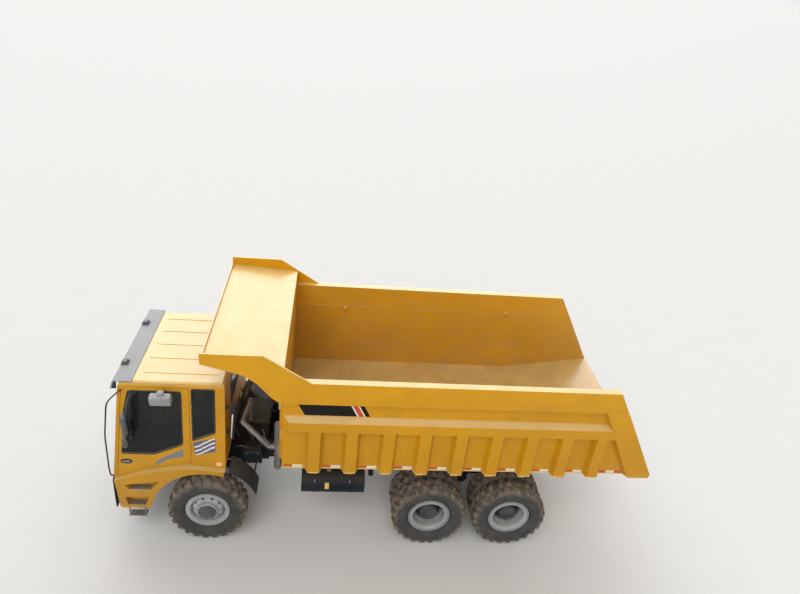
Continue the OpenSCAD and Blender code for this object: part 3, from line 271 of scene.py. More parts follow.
def tint_over(material, shader, share, tint):
    """Mixes a tint over the colour that the shader has so far."""
    before = shader.inputs["Base Color"].links[0].from_socket
    material.node_tree.links.new(mixed(material, share, before, tint), shader.inputs["Base Color"])


def along(material, axis):
    """The X, Y or Z of Object coordinates."""
    tree = material.node_tree
    node = tree.nodes.new("ShaderNodeSeparateXYZ")
    tree.links.new(object_point(material), node.inputs["Vector"])
    return node.outputs[axis]


def bumped(material, shader, value, strength, distance):
    """Raises the surface where the value is high."""
    tree = material.node_tree
    node = tree.nodes.new("ShaderNodeBump")
    node.inputs["Strength"].default_value = strength
    node.inputs["Distance"].default_value = distance
    tree.links.new(value, node.inputs["Height"])
    tree.links.new(node.outputs["Normal"], shader.inputs["Normal"])


UPWARD = (0.25, 0.88)


def upward(material):
    """1 where a face looks straight up and 0 where it is upright or looks down."""
    tree = material.node_tree
    geometry = tree.nodes.new("ShaderNodeNewGeometry")
    split = tree.nodes.new("ShaderNodeSeparateXYZ")
    tree.links.new(geometry.outputs["Normal"], split.inputs["Vector"])
    return spread(material, split.outputs["Z"], *UPWARD)


DUST = (0.46, 0.36, 0.25)
MUD = (0.20, 0.135, 0.085)
MUD_FADE = 0.7
CLOUD_SCALE, DUST_SCALE, MUD_SCALE, SHEEN_SCALE, GRAIN_SCALE = 1.7, 3.1, 7.0, 9.0, 55.0


def painted(name, colour, worn, roughness, top_dust_and_highlight, mud_line, mud_share=0.5, metallic=0.0,
            dust_and_highlight_colour=DUST):
    """Paint with cloudy fading, a pale tint on faces that look up, and mud that thins out above
    mud_line. The pale tint is dust, and on the yellow paints also a painted highlight of the sky."""
    material, shader = new_material(name, roughness, metallic)
    tree = material.node_tree
    faded = mixed(material, spread(material, noise(material, CLOUD_SCALE), 0.35, 0.70), colour,
                  worn)
    patchy_top_share = spread(material, noise(material, DUST_SCALE, 6.0), 0.36, 0.70, 0.72 * top_dust_and_highlight,
                   top_dust_and_highlight)
    dust_and_highlight = multiply(material, upward(material), patchy_top_share)
    with_dust_and_highlight = mixed(material, dust_and_highlight, faded, dust_and_highlight_colour)
    low = spread(material, along(material, "Z"), mud_line, mud_line - MUD_FADE, 0, mud_share)
    splashed = multiply(material, low,
                        spread(material, noise(material, MUD_SCALE, 8.0), 0.42, 0.60))
    tree.links.new(mixed(material, splashed, with_dust_and_highlight, MUD), shader.inputs["Base Color"])
    rough = spread(material, noise(material, SHEEN_SCALE, 3.0), 0.3, 0.7, roughness - 0.07,
                   roughness + 0.14)
    tree.links.new(rough, shader.inputs["Roughness"])
    bumped(material, shader, noise(material, GRAIN_SCALE, 3.0), 0.06, 0.002)
    return material, shader


# %% [markdown]
# ## Finishes
# The truck is new enough for its yellow paint to shine. Its yellow faces that look up, the roof and
# the rails above all, are pale: partly dust, partly a painted highlight of the bright sky. Dust lies
# on the tops of the other parts too, and mud clings to whatever is near the ground. Frame and axles
# are black, rims grey, and the panes nearly black.

# %% Paint, iron and rubber
YELLOW = (0.66, 0.315, 0.002)
YELLOW_WORN = (0.58, 0.275, 0.004)
# Pale dust colour, which on the yellow's tops is also a painted highlight of the bright sky.
PALE_DUST_AND_HIGHLIGHT = (0.74, 0.595, 0.27)
SCOURED = (0.34, 0.24, 0.13)
BED_INSIDE_Y, BED_FLOOR_Z, BED_FRONT_X, EDGE_BLUR = 1.580, 1.850, 1.812, 0.006
ROOF_FOOT_Z = 3.140


def glossy_on_top(material, shader):
    """Clear coat that is strong on faces that look up, where the rain has washed them, and faint on
    the sides."""
    material.node_tree.links.new(spread(material, upward(material), 0.2, 0.9, 0.06, 1.0),
                                 shader.inputs["Coat Weight"])
    shader.inputs["Coat Roughness"].default_value = 0.25
    shader.inputs["Specular IOR Level"].default_value = 0.28


def worn_inside(material, shader):
    """Scoured, dusty paint inside the bed: a mask from Object coordinates, mixed over the colour
    made so far."""
    away = material.node_tree.nodes.new("ShaderNodeMath")
    away.operation = "ABSOLUTE"
    material.node_tree.links.new(along(material, "Y"), away.inputs[0])
    within = spread(material, away.outputs["Value"], BED_INSIDE_Y, BED_INSIDE_Y - EDGE_BLUR)
    above = spread(material, along(material, "Z"), BED_FLOOR_Z, BED_FLOOR_Z + EDGE_BLUR)
    behind = spread(material, along(material, "X"), BED_FRONT_X, BED_FRONT_X - EDGE_BLUR)
    inside = multiply(material, multiply(material, within, above), behind)
    scoured = spread(material, noise(material, 2.4, 9.0, (1, 1, 2.5)), 0.36, 0.66, 0.16, 0.46)
    low = spread(material, along(material, "Z"), 3.4, 1.9, 0.45, 1.0)
    tint_over(material, shader, multiply(material, multiply(material, inside, scoured), low),
              SCOURED)


def tint_by_height(material, shader, start, end, share, tint):
    """A tint that grows from nothing at one height to its full share at another."""
    film = multiply(material, spread(material, along(material, "Z"), start, end, 0, share),
                    spread(material, noise(material, 1.3, 5.0), 0.30, 0.60, 0.65, 1.0))
    tint_over(material, shader, film, tint)


def near_axles(material, centres, inner, outer):
    """1 within the inner radius of the nearest axle and 0 beyond the outer: the least distance in X
    and Z."""
    tree = material.node_tree
    flat = object_point(material, (1, 0, 1))
    least = None
    for x, z in centres:
        away = tree.nodes.new("ShaderNodeVectorMath")
        away.operation = "DISTANCE"
        away.inputs[1].default_value = (x, 0, z)
        tree.links.new(flat, away.inputs[0])
        distance = away.outputs["Value"]
        least = distance if least is None else combined(tree, "MINIMUM", least, distance)
    return spread(material, least, inner, outer, 1.0, 0.0)


def axle_centre(node_name):
    """X and Z of a wheel's axle, from its node's box."""
    low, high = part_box(node_name)
    return (low.x + high.x) / 2, (low.z + high.z) / 2


def dirt_and_shade_about_axle(material, shader, rims, inner, outer, share, tint):
    """Dirt and shade about the axle: full within inner, none beyond outer, or the other way if
    inner is larger."""
    near = near_axles(material, [axle_centre(rim) for rim in rims], inner, outer)
    cloudy = spread(material, noise(material, 6.0, 5.0), 0.30, 0.62, 0.82 * share, share)
    tint_over(material, shader, multiply(material, near, cloudy), tint)


# The yellow's faces that look up get a pale tint: partly dust, partly a painted highlight of the sky.
yellow_paint, yellow_shader = painted(
    "yellow_paint", (0.60, 0.285, 0.004), (0.50, 0.235, 0.008), 0.40, 0.72, 1.45, 0.45, 0.0,
    PALE_DUST_AND_HIGHLIGHT)
glossy_on_top(yellow_paint, yellow_shader)
# Darker yellow towards the bottom of the cab and the fenders.
tint_by_height(yellow_paint, yellow_shader, 2.1, 1.1, 0.30, (0.34, 0.19, 0.03))
# Above the roof's foot the cab is pale all over, rib flanks too: dust, and a painted highlight over
# the flanks' shade.
tint_by_height(yellow_paint, yellow_shader, ROOF_FOOT_Z, ROOF_FOOT_Z + EDGE_BLUR, 0.60, PALE_DUST_AND_HIGHLIGHT)
# The bed's pale tops: partly dust, partly a painted highlight of the sky.
bed_paint, bed_shader = painted(
    "bed_paint", YELLOW, YELLOW_WORN, 0.40, 0.66, 1.2, 0.10, 0.0, PALE_DUST_AND_HIGHLIGHT)
glossy_on_top(bed_paint, bed_shader)
worn_inside(bed_paint, bed_shader)
# Darker orange towards the bottom of the bed's sides.
tint_by_height(bed_paint, bed_shader, 3.35, 2.6, 0.26, (0.30, 0.135, 0.003))
# Pale cream for the bed's lower lip: a painted highlight along its edge.
painted_lip_highlight, _ = painted(
    "painted_lip_highlight", (0.86, 0.66, 0.30), (0.74, 0.54, 0.22), 0.45, 0.2, 1.0, 0.0)
plate_yellow, _ = painted(
    "plate_yellow", (0.72, 0.50, 0.10), (0.62, 0.42, 0.09), 0.40, 0.2, 0.6, 0.1)
black_paint, black_shader = painted(
    "black_paint", (0.011, 0.014, 0.018), (0.020, 0.023, 0.028), 0.50, 0.08, 0.85, 0.50)
grey_paint, grey_shader = painted(
    "grey_paint", (0.022, 0.026, 0.033), (0.036, 0.041, 0.050), 0.46, 0.12, 1.2, 0.22)
visor_paint, _ = painted(
    "visor_paint", (0.205, 0.232, 0.272), (0.250, 0.277, 0.312), 0.42, 0.24, 1.0, 0.0)
rim_paint, rim_shader = painted(
    "rim_paint", (0.36, 0.385, 0.39), (0.25, 0.27, 0.275), 0.42, 0.25, 1.0, 0.25)
# Front rims: dirt and painted shade darken the middle about the hub.
dirt_and_shade_about_axle(rim_paint, rim_shader, ["front_left_rim"], 0.158, 0.166, 0.93, (0.022, 0.025, 0.034))
rear_rim_paint, rear_rim_shader = painted(
    "rear_rim_paint", (0.41, 0.435, 0.44), (0.29, 0.31, 0.31), 0.45, 0.15, 0.8, 0.20)
REAR_RIMS = ["rear_1_left_rims", "rear_2_left_rims"]
# Rear rims: dirt and painted shade, near black in the deep dish about the hub and dark grey on the
# outer flange.
dirt_and_shade_about_axle(rear_rim_paint, rear_rim_shader, REAR_RIMS, 0.245, 0.285, 0.98, (0.012, 0.014, 0.018))
dirt_and_shade_about_axle(rear_rim_paint, rear_rim_shader, REAR_RIMS, 0.345, 0.315, 0.62, (0.085, 0.095, 0.100))
ring_paint, _ = painted(
    "ring_paint", (0.30, 0.32, 0.32), (0.22, 0.235, 0.235), 0.42, 0.25, 0.9, 0.25)
hub_paint, _ = painted(
    "hub_paint", (0.050, 0.056, 0.066), (0.075, 0.08, 0.09), 0.48, 0.35, 1.1, 0.30)
iron_paint, iron_shader = painted(
    "iron_paint", (0.016, 0.017, 0.018), (0.030, 0.028, 0.026), 0.60, 0.10, 1.2, 0.50)
bright_steel, _ = painted(
    "bright_steel", (0.30, 0.30, 0.295), (0.20, 0.195, 0.19), 0.42, 0.18, 1.3, 0.35, 0.60)
hoist_chrome, _ = painted(
    "hoist_chrome", (0.62, 0.63, 0.65), (0.55, 0.56, 0.58), 0.18, 0.10, 0.8, 0.1, 1.0)
arm_paint, _ = painted(
    "arm_paint", (0.040, 0.043, 0.046), (0.060, 0.063, 0.066), 0.50, 0.2, 1.0, 0.0)
shell_plastic, _ = painted(
    "shell_plastic", (0.065, 0.072, 0.076), (0.095, 0.102, 0.106), 0.45, 0.2, 1.0, 0.0)
knob_plastic, _ = painted(
    "knob_plastic", (0.36, 0.365, 0.36), (0.28, 0.285, 0.28), 0.45, 0.2, 1.0, 0.0)
pale_orange, _ = painted(
    "pale_orange", (0.90, 0.52, 0.22), (0.80, 0.44, 0.17), 0.35, 0.2, 1.0, 0.0)
mirror_plastic, _ = painted(
    "mirror_plastic", (0.30, 0.315, 0.33), (0.25, 0.262, 0.275), 0.45, 0.25, 1.0, 0.0)
black_plastic, _ = painted(
    "black_plastic", (0.018, 0.018, 0.02), (0.03, 0.03, 0.032), 0.52, 0.35, 1.2, 0.4)
for dull in (black_shader, grey_shader, iron_shader):
    dull.inputs["Specular IOR Level"].default_value = 0.10
seat_cloth, _ = painted(
    "seat_cloth", (0.045, 0.044, 0.046), (0.07, 0.066, 0.062), 0.85, 0.30, 1.0, 0.0)


TREAD_RADII = (0.560, 0.655)
TYRE_MUD = (0.215, 0.165, 0.120)


def make_tyre_rubber():
    """Grey-black rubber; brown mud is thick on the tread, beyond a radius, and a thin film on the
    side walls."""
    material, shader = new_material("tyre_rubber", 0.85)
    tree = material.node_tree
    shader.inputs["Specular IOR Level"].default_value = 0.2
    worn = spread(material, noise(material, 5.0), 0.35, 0.65)
    rubber = mixed(material, worn, (0.040, 0.042, 0.043), (0.062, 0.063, 0.062))
    axles = [axle_centre(name) for name in ("front_left_tyre", "rear_1_left_tyres",
                                            "rear_2_left_tyres")]
    on_tread = spread(material, near_axles(material, axles, *TREAD_RADII), 0, 1, 1.0, 0.10)
    caked = spread(material, noise(material, 9.0, 9.0), 0.36, 0.60, 0.18, 0.95)
    share = multiply(material, on_tread, caked)
    tree.links.new(mixed(material, share, rubber, TYRE_MUD), shader.inputs["Base Color"])
    bumped(material, shader, noise(material, 42.0, 8.0), 0.35, 0.006)
    return material


def make_dark_glass():
    """A pane that lets little light through: dark, smooth and half see-through."""
    material, shader = new_material("dark_glass", 0.08)
    tree = material.node_tree
    film = spread(material, noise(material, 2.2, 5.0), 0.35, 0.75)
    tree.links.new(mixed(material, film, (0.006, 0.008, 0.008), (0.016, 0.018, 0.017)),
                   shader.inputs["Base Color"])
    shader.inputs["Alpha"].default_value = 0.66
    shader.inputs["Specular IOR Level"].default_value = 0.35
    material.surface_render_method = "BLENDED"
    return material


def make_lamp_glass(name, colour, gloss):
    """Moulded lens: fine upright flutes by a wave of Object coordinates, under a clear coat as
    strong as gloss."""
    material, shader = new_material(name, 0.16)
    tree = material.node_tree
    wave = tree.nodes.new("ShaderNodeTexWave")
    wave.inputs["Scale"].default_value = 22.0
    wave.bands_direction = "Y"
    tree.links.new(object_point(material), wave.inputs["Vector"])
    dark = tuple(0.6 * c for c in colour)
    tree.links.new(mixed(material, wave.outputs["Fac"], dark, colour), shader.inputs["Base Color"])
    bumped(material, shader, wave.outputs["Fac"], 0.25, 0.003)
    shader.inputs["Coat Weight"].default_value = gloss
    return material


def make_mirror():
    """Silvered glass with a faint film of dust."""
    material, shader = new_material("mirror_surface", 0.06, 1.0)
    film = spread(material, noise(material, 6.0, 4.0), 0.35, 0.75)
    material.node_tree.links.new(mixed(material, film, (0.50, 0.53, 0.56), (0.38, 0.40, 0.42)),
                                 shader.inputs["Base Color"])
    return material


tyre_rubber = make_tyre_rubber()
dark_glass = make_dark_glass()
mirror_surface = make_mirror()
headlamp_glass = make_lamp_glass("headlamp_glass", (0.46, 0.49, 0.51), 0.8)
red_lens = make_lamp_glass("red_lens", (0.50, 0.02, 0.012), 0.5)
amber_lens = make_lamp_glass("amber_lens", (0.75, 0.24, 0.02), 0.5)
smoked_lens = make_lamp_glass("smoked_lens", (0.040, 0.045, 0.038), 0.4)
tape_red, _ = painted("tape_red", (0.60, 0.045, 0.015), (0.48, 0.05, 0.02), 0.35, 0.2, 1.2, 0.0)
tape_white, _ = painted("tape_white", (0.78, 0.73, 0.58), (0.68, 0.62, 0.47), 0.35, 0.2, 1.2, 0.0)
decal_black, decal_shader = painted("decal_black", (0.007, 0.007, 0.007), (0.012, 0.011, 0.010),
                                    0.40, 0.2, 1.0, 0.0)
decal_shader.inputs["Specular IOR Level"].default_value = 0.15
decal_grey, _ = painted("decal_grey", (0.16, 0.17, 0.18), (0.20, 0.21, 0.22), 0.34, 0.2, 1.0, 0.0)
decal_blue, _ = painted("decal_blue", (0.07, 0.085, 0.20), (0.09, 0.10, 0.22), 0.34, 0.2, 1.0, 0.0)
rubber_seal, _ = painted("rubber_seal", (0.014, 0.014, 0.015), (0.03, 0.029, 0.028), 0.70, 0.3,
                         1.0, 0.0)
floor_finish, _ = painted("floor_finish", (0.615, 0.605, 0.585), (0.625, 0.615, 0.595), 0.9, 0.0,
                          -9.0, 0.0)
studio_floor.data.materials.append(floor_finish)
print("materials:", len(bpy.data.materials))

# %% [markdown]
# ## Dress the rigid model
# Each node of the model keeps its shape and gets one of the finishes above.

# %% Finishes for the model's own nodes
NODE_FINISH = {
    yellow_paint: "fender_left fender_right cab_shell door_left door_right",
    bed_paint: "bed_body bed_canopy bed_subframe bed_bearers",
    black_paint: "frame_rails cross_members hoist_foot frame_brackets front_bumper front_grille"
                 " front_axle_beam front_springs rear_axles rear_springs radiator side_tanks",
    dark_glass: "windscreen cab_rear_glass door_left_glass door_right_glass",
    visor_paint: "sun_visor",
    rim_paint: "front_left_rim front_right_rim",
    rear_rim_paint: "rear_1_left_rims rear_1_right_rims rear_2_left_rims rear_2_right_rims",
    iron_paint: "knuckle_left knuckle_right track_rod engine_block prop_shafts hoist_barrels",
    grey_paint: "mudguards air_intake",
    bright_steel: "exhaust cab_steps",
    hoist_chrome: "hoist_rods",
    headlamp_glass: "headlamps",
    red_lens: "tail_lamps",
    seat_cloth: "cab_interior",
    tyre_rubber: "front_left_tyre front_right_tyre rear_1_left_tyres rear_1_right_tyres"
                 " rear_2_left_tyres rear_2_right_tyres",
}
for finish, names in NODE_FINISH.items():
    for node_name in names.split():
        nodes[node_name].data.materials.clear()
        nodes[node_name].data.materials.append(finish)
print("dressed:", sum(len(names.split()) for names in NODE_FINISH.values()))

# %% [markdown]
# ## Building blocks for shapes
# New pieces are arrays of points joined into faces in one step. Four shapes cover nearly all of
# them: a grid closed on itself, a round tube along a path, a block with chamfered edges, and a flat
# plate. Blender turns the faces of each closed part outwards, so a shape may list the corners of a
# face either way round.

# %% Shape helpers


def add_piece(name, points, faces, finish, body, slot, smooth=False):
    """A mesh object that rides on a body; Blender turns the faces of each closed part outwards."""
    mesh = bpy.data.meshes.new(name)
    mesh.from_pydata(np.asarray(points).reshape(-1, 3).tolist(), [], [list(f) for f in faces])
    mesh.materials.append(finish)
    mesh.polygons.foreach_set("use_smooth", np.full(len(mesh.polygons), smooth))
    mesh.validate()
    turned = bmesh.new()
    turned.from_mesh(mesh)
    bmesh.ops.recalc_face_normals(turned, faces=turned.faces)
    turned.to_mesh(mesh)
    turned.free()
    piece = bpy.data.objects.new(name, mesh)
    bpy.context.scene.collection.objects.link(piece)
    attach(piece, body)
    return piece


def grid_faces(rows, columns, close_rows, close_columns):
    """Quads between neighbours of a grid of points, with either way closed on itself."""
    index = np.arange(rows * columns).reshape(rows, columns)
    if close_rows:
        index = np.vstack([index, index[:1]])
    if close_columns:
        index = np.hstack([index, index[:, :1]])
    quads = np.stack([index[:-1, :-1], index[1:, :-1], index[1:, 1:], index[:-1, 1:]], axis=-1)
    return quads.reshape(-1, 4)


def tube_faces(rows, columns, closed=False):
    """Faces of a tube with a row of points for each ring; both ends are closed unless the last ring
    joins the first."""
    faces = grid_faces(rows, columns, closed, True).tolist()
    last = (rows - 1) * columns
    return faces if closed else faces + [list(range(columns)), list(range(last, last + columns))]


def stacked(shapes):
    """Several (points, faces) pairs as one pair."""
    points, faces, start = [], [], 0
    for some_points, some_faces in shapes:
        points.append(np.asarray(some_points).reshape(-1, 3))
        faces += [[start + i for i in face] for face in some_faces]
        start += len(points[-1])
    return np.vstack(points), faces


def tube(path, radius, sides=10, closed=False, reference=(0, 0, 1)):
    """A circle carried along a path: point + radius (cos a side + sin a across), square to the
    path."""
    path = np.asarray(path, float)
    if closed:
        ahead = np.roll(path, -1, axis=0) - np.roll(path, 1, axis=0)
    else:
        ahead = np.gradient(path, axis=0)
    ahead /= np.linalg.norm(ahead, axis=1, keepdims=True)
    side = np.cross(ahead, np.asarray(reference, float))
    side /= np.linalg.norm(side, axis=1, keepdims=True)
    across = np.cross(side, ahead)
    turn = np.linspace(0, 2 * np.pi, sides, endpoint=False)
    ring = (np.cos(turn)[None, :, None] * side[:, None]
            + np.sin(turn)[None, :, None] * across[:, None])
    radius = np.broadcast_to(np.asarray(radius, float), (len(path),))
    points = path[:, None] + radius[:, None, None] * ring
    return points.reshape(-1, 3), tube_faces(len(path), sides, closed)


def corner_number(corner, axis):
    """The row of a block's point: three for each of the eight corners, one along each axis."""
    x, y, z = (step > 0 for step in corner)
    return (x * 4 + y * 2 + z) * 3 + axis


def corner_at(places):
    """A corner of -1 and 1 steps from pairs (axis, step)."""
    corner = [0, 0, 0]
    for axis, step in places:
        corner[axis] = step
    return corner


def chamfered_block(centre, size, bevel):
    """A block whose 12 edges are cut off by the bevel: each corner becomes three points."""
    half = np.asarray(size, float) / 2
    signs = np.array([(x, y, z) for x in (-1, 1) for y in (-1, 1) for z in (-1, 1)], float)
    points = np.stack([signs * np.where(np.arange(3) == axis, half, half - bevel)
                       for axis in range(3)], axis=1)
    faces = []
    for axis in range(3):
        first, second = [a for a in range(3) if a != axis]
        for sign in (-1, 1):
            faces.append([corner_number(corner_at([(axis, sign), (first, p), (second, q)]), axis)
                          for p, q in ((-1, -1), (1, -1), (1, 1), (-1, 1))])
        for p, q in ((-1, -1), (-1, 1), (1, -1), (1, 1)):
            faces.append([corner_number(corner_at([(axis, sign), (first, p), (second, q)]), way)
                          for sign, way in ((-1, first), (1, first), (1, second), (-1, second))])
    faces += [[corner_number(corner, axis) for axis in range(3)] for corner in signs]
    return points.reshape(-1, 3) + np.asarray(centre, float), faces


def plate(outline, thickness):
    """A flat plate: the outline's points, and the same points moved along the thickness vector."""
    outline = np.asarray(outline, float)
    points = np.vstack([outline, outline + np.asarray(thickness, float)])
    return points, tube_faces(2, len(outline))


def rounded_loop(corners, radius, steps=5):
    """A closed path through corners cut by a quadratic curve: (1-t)^2 a + 2t(1-t) corner + t^2
    b."""
    corners = np.asarray(corners, float)
    before = np.roll(corners, 1, axis=0) - corners
    after = np.roll(corners, -1, axis=0) - corners
    reach_before = np.minimum(radius, 0.45 * np.linalg.norm(before, axis=1))[:, None]
    reach_after = np.minimum(radius, 0.45 * np.linalg.norm(after, axis=1))[:, None]
    a = corners + before / np.linalg.norm(before, axis=1, keepdims=True) * reach_before
    b = corners + after / np.linalg.norm(after, axis=1, keepdims=True) * reach_after
    t = np.linspace(0, 1, steps)[None, :, None]
    curve = (1 - t) ** 2 * a[:, None] + 2 * t * (1 - t) * corners[:, None] + t ** 2 * b[:, None]
    return curve.reshape(-1, corners.shape[1])


def unchanged(shape):
    """The shape as it is, for the left side."""
    return shape


def mirrored(shape):
    """The same shape on the right side: Y changes sign."""
    points, faces = shape
    return np.asarray(points).reshape(-1, 3) * (1, -1, 1), faces


def both(shapes):
    """Shapes of the left side together with their mirror images on the right."""
    return list(shapes) + [mirrored(shape) for shape in shapes]


SIDES = (("left", unchanged), ("right", mirrored))

# %% [markdown]
# ## Tyres
# A tyre of this kind has two rows of heavy lugs, set half a pitch apart, that run from the middle
# over the shoulder. Cutting lugs one by one gives ragged meshes. Here the whole tyre is one closed
# grid: each point lies on a groove outline or on a lug outline, and a mask that depends on the
# angle chooses between them.

# %% Tyre as one closed surface
LUGS = 24
LUG_TOP = 0.215
LUG_FOOT = 0.285
GROOVE_OUTLINE = [
    (0.000, 0.651), (0.018, 0.651), (0.045, 0.651), (0.072, 0.651), (0.100, 0.651), (0.125, 0.649),
    (0.148, 0.640), (0.164, 0.628), (0.176, 0.613), (0.1835, 0.596)]
LUG_OUTLINE = [
    (0.000, 0.651), (0.018, 0.676), (0.045, 0.685), (0.072, 0.685), (0.110, 0.6795),
    (0.1565, 0.673), (0.1685, 0.6655), (0.1745, 0.650), (0.1785, 0.625), (0.1835, 0.596)]
SIDE_OUTLINE = [
    (0.1850, 0.580), (0.1868, 0.574), (0.1868, 0.568), (0.1855, 0.562), (0.1872, 0.545),
    (0.1875, 0.520), (0.1862, 0.500), (0.1868, 0.494), (0.1850, 0.488), (0.1790, 0.462),
    (0.1700, 0.440), (0.1580, 0.418), (0.1500, 0.409), (0.1440, 0.402), (0.1400, 0.3985),
    (0.1180, 0.391), (0.1180, 0.3185)]
LUG_SKEW = 0.10
LUG_SHOULDER = 0.16
TYRE_WIDTH = 0.375


def tyre_surface(centre, outer_sign):
    """Closed grid over angle and section: point = groove + mask (lug - groove), turned about the
    axle. The mask is 1 over the middle of a pitch, 0 past the lug's foot, and half a pitch later on
    the inner side."""
    steps = np.array([0, 0.1, LUG_TOP, LUG_FOOT, 0.4, 0.5, 0.6, 1 - LUG_FOOT, 1 - LUG_TOP, 0.9])
    pitch_part = (np.arange(LUGS)[:, None] + steps[None, :]).reshape(-1)
    groove = np.array(GROOVE_OUTLINE + SIDE_OUTLINE)
    lug = np.array(LUG_OUTLINE + SIDE_OUTLINE)
    grids = []
    for sign in (1, -1):
        phase = pitch_part if sign == outer_sign else pitch_part + 0.5
        away = np.abs((phase + 0.5) % 1 - 0.5)
        mask = np.clip((LUG_FOOT - away) / (LUG_FOOT - LUG_TOP), 0, 1)[:, None, None]
        section = groove[None] + mask * (lug - groove)[None]
        section = section * np.array([sign, 1.0])
        grids.append(section if sign == 1 else section[:, ::-1][:, :-1])
    section = np.concatenate(grids[::-1], axis=1)
    skew = LUG_SKEW * np.minimum(np.abs(section[..., 0]), LUG_SHOULDER) / LUG_SHOULDER
    angle = 2 * np.pi * (pitch_part[:, None] / LUGS) + skew
    x = centre[0] + section[..., 1] * np.cos(angle)
    y = centre[1] + section[..., 0]
    z = centre[2] + section[..., 1] * np.sin(angle)
    points = np.stack([x, y, z], axis=-1)
    faces = grid_faces(points.shape[0], points.shape[1], True, True)
    return points.reshape(-1, 3), faces.tolist()


def tyre_centres(node_name):
    """Middle of each tyre in a node: at the box's middle, or one at each end of a twin's box."""
    low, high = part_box(node_name)
    middle = (low + high) / 2
    if high.y - low.y < 1.5 * TYRE_WIDTH:
        return [tuple(middle)]
    return [(middle.x, y, middle.z) for y in (low.y + TYRE_WIDTH / 2, high.y - TYRE_WIDTH / 2)]


def body_of_node(node_name):
    """The body that carries a node."""
    bodies = frame["record"]["behaviour"]["bodies"]
    return next(body for body, names in bodies.items() if node_name in names)


tyre_nodes = [name for name in nodes if name.endswith(("_tyre", "_tyres"))]
for node_name in sorted(tyre_nodes):
    outer = 1 if "left" in node_name else -1
    shape = stacked([tyre_surface(centre, outer) for centre in tyre_centres(node_name)])
    dressed = add_piece(node_name + "_tread", *shape, tyre_rubber, body_of_node(node_name),
                        "tyre_rubber")
    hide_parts(node_name)
treads = [piece for piece in bpy.data.objects if piece.name.endswith("_tread")]
print("tyre triangles:", 2 * sum(len(piece.data.polygons) for piece in treads))

# %% [markdown]
# ## Wheel nuts and hub bolts
# Nuts are six-sided blocks on a circle. All nuts of a wheel are one joined mesh, worked out from a
# table of angles, so that each wheel gets a single light piece.

# %% Wheel nuts


def nut_ring(centre, outward_sign, ring_radius, count, nut_radius, nut_height):
    """Hexagonal prisms about an axis along Y: corner = centre + ring turn + nut turn, at two
    heights."""
    ring = np.arange(count) * 2 * np.pi / count
    six = np.arange(6) * np.pi / 3
    shapes = []
    for turn in ring:
        x = centre[0] + ring_radius * np.cos(turn) + nut_radius * np.cos(six + turn)
        z = centre[2] + ring_radius * np.sin(turn) + nut_radius * np.sin(six + turn)
        hexagon = np.stack([x, np.full(6, centre[1]), z], axis=-1)
        shapes.append(plate(hexagon, (0, outward_sign * nut_height, 0)))
    return stacked(shapes)


DISC_SET_BACK = 0.070
HUB_BOLT_SET_BACK = 0.013
WHEELS = [("front_left_rim", 1), ("front_right_rim", -1), ("rear_1_left_rims", 1),
          ("rear_1_right_rims", -1), ("rear_2_left_rims", 1), ("rear_2_right_rims", -1)]
for node_name, sign in WHEELS:
    low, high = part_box(node_name)
    outer_y = high.y if sign > 0 else low.y
    axle_x, axle_z = axle_centre(node_name)
    front = node_name.startswith("front")
    disc_y = outer_y - sign * DISC_SET_BACK
    rings = [nut_ring((axle_x, disc_y, axle_z), sign, 0.192, 10, 0.016, 0.022)] if front else []
    hub_ring = 0.115 if front else 0.105
    hub_y = outer_y - sign * HUB_BOLT_SET_BACK
    rings.append(nut_ring((axle_x, hub_y, axle_z), sign, hub_ring, 8, 0.011, 0.010))
    nut_finish = rim_paint if front else hub_paint
    add_piece(node_name + "_nuts", *stacked(rings), nut_finish, body_of_node(node_name),
              "grey_iron")
print("wheels with nuts:", len(WHEELS))

# %% [markdown]
# ## The cab's leaning walls
# The cab's sides lean in and its front leans back, so a trim piece can't be placed by height alone.
# Two short functions put a point on the side wall or on the front wall and lift it off the surface,
# and every seal, handle and lamp below is drawn with them.

# %% Points on the cab's walls
CAB_HALF, CAB_REFERENCE_Z, CAB_LEAN = 1.330, 1.500, 0.115
FRONT_FOOT_X, FRONT_FOOT_Z, FRONT_LEAN = 4.676, 1.254, 0.093
SIDE_NORMAL = np.array([0, 1, CAB_LEAN]) / math.hypot(1, CAB_LEAN)
FRONT_NORMAL = np.array([1, 0, FRONT_LEAN]) / math.hypot(1, FRONT_LEAN)


def on_side(outline, lift=0.0):
    """Points (x, z) laid on the left side wall, y = half width - lean (z - reference), lifted along
    its normal."""
    outline = np.asarray(outline, float)
    y = CAB_HALF - CAB_LEAN * (outline[:, 1] - CAB_REFERENCE_Z)
    return np.stack([outline[:, 0], y, outline[:, 1]], axis=-1) + lift * SIDE_NORMAL


def on_front(outline, lift=0.0):
    """Points (y, z) laid on the front wall, x = foot - lean (z - foot's height), lifted along its
    normal."""
    outline = np.asarray(outline, float)
    x = FRONT_FOOT_X - FRONT_LEAN * (outline[:, 1] - FRONT_FOOT_Z)
    return np.stack([x, outline[:, 0], outline[:, 1]], axis=-1) + lift * FRONT_NORMAL


def band(path, section, normal, closed=True):
    """A section (sideways, outward) carried along a path: point + u side + v normal, side = along x
    normal."""
    path = np.asarray(path, float)
    if closed:
        ahead = np.roll(path, -1, axis=0) - np.roll(path, 1, axis=0)
    else:
        ahead = np.gradient(path, axis=0)
    ahead /= np.linalg.norm(ahead, axis=1, keepdims=True)
    normal = np.broadcast_to(np.asarray(normal, float), path.shape)
    side = np.cross(ahead, normal)
    side /= np.linalg.norm(side, axis=1, keepdims=True)
    section = np.asarray(section, float)
    points = (path[:, None] + section[None, :, :1] * side[:, None]
              + section[None, :, 1:] * normal[:, None])
    return points.reshape(-1, 3), tube_faces(len(path), len(section), closed)


print("side normal:", SIDE_NORMAL.round(3), "front normal:", FRONT_NORMAL.round(3))

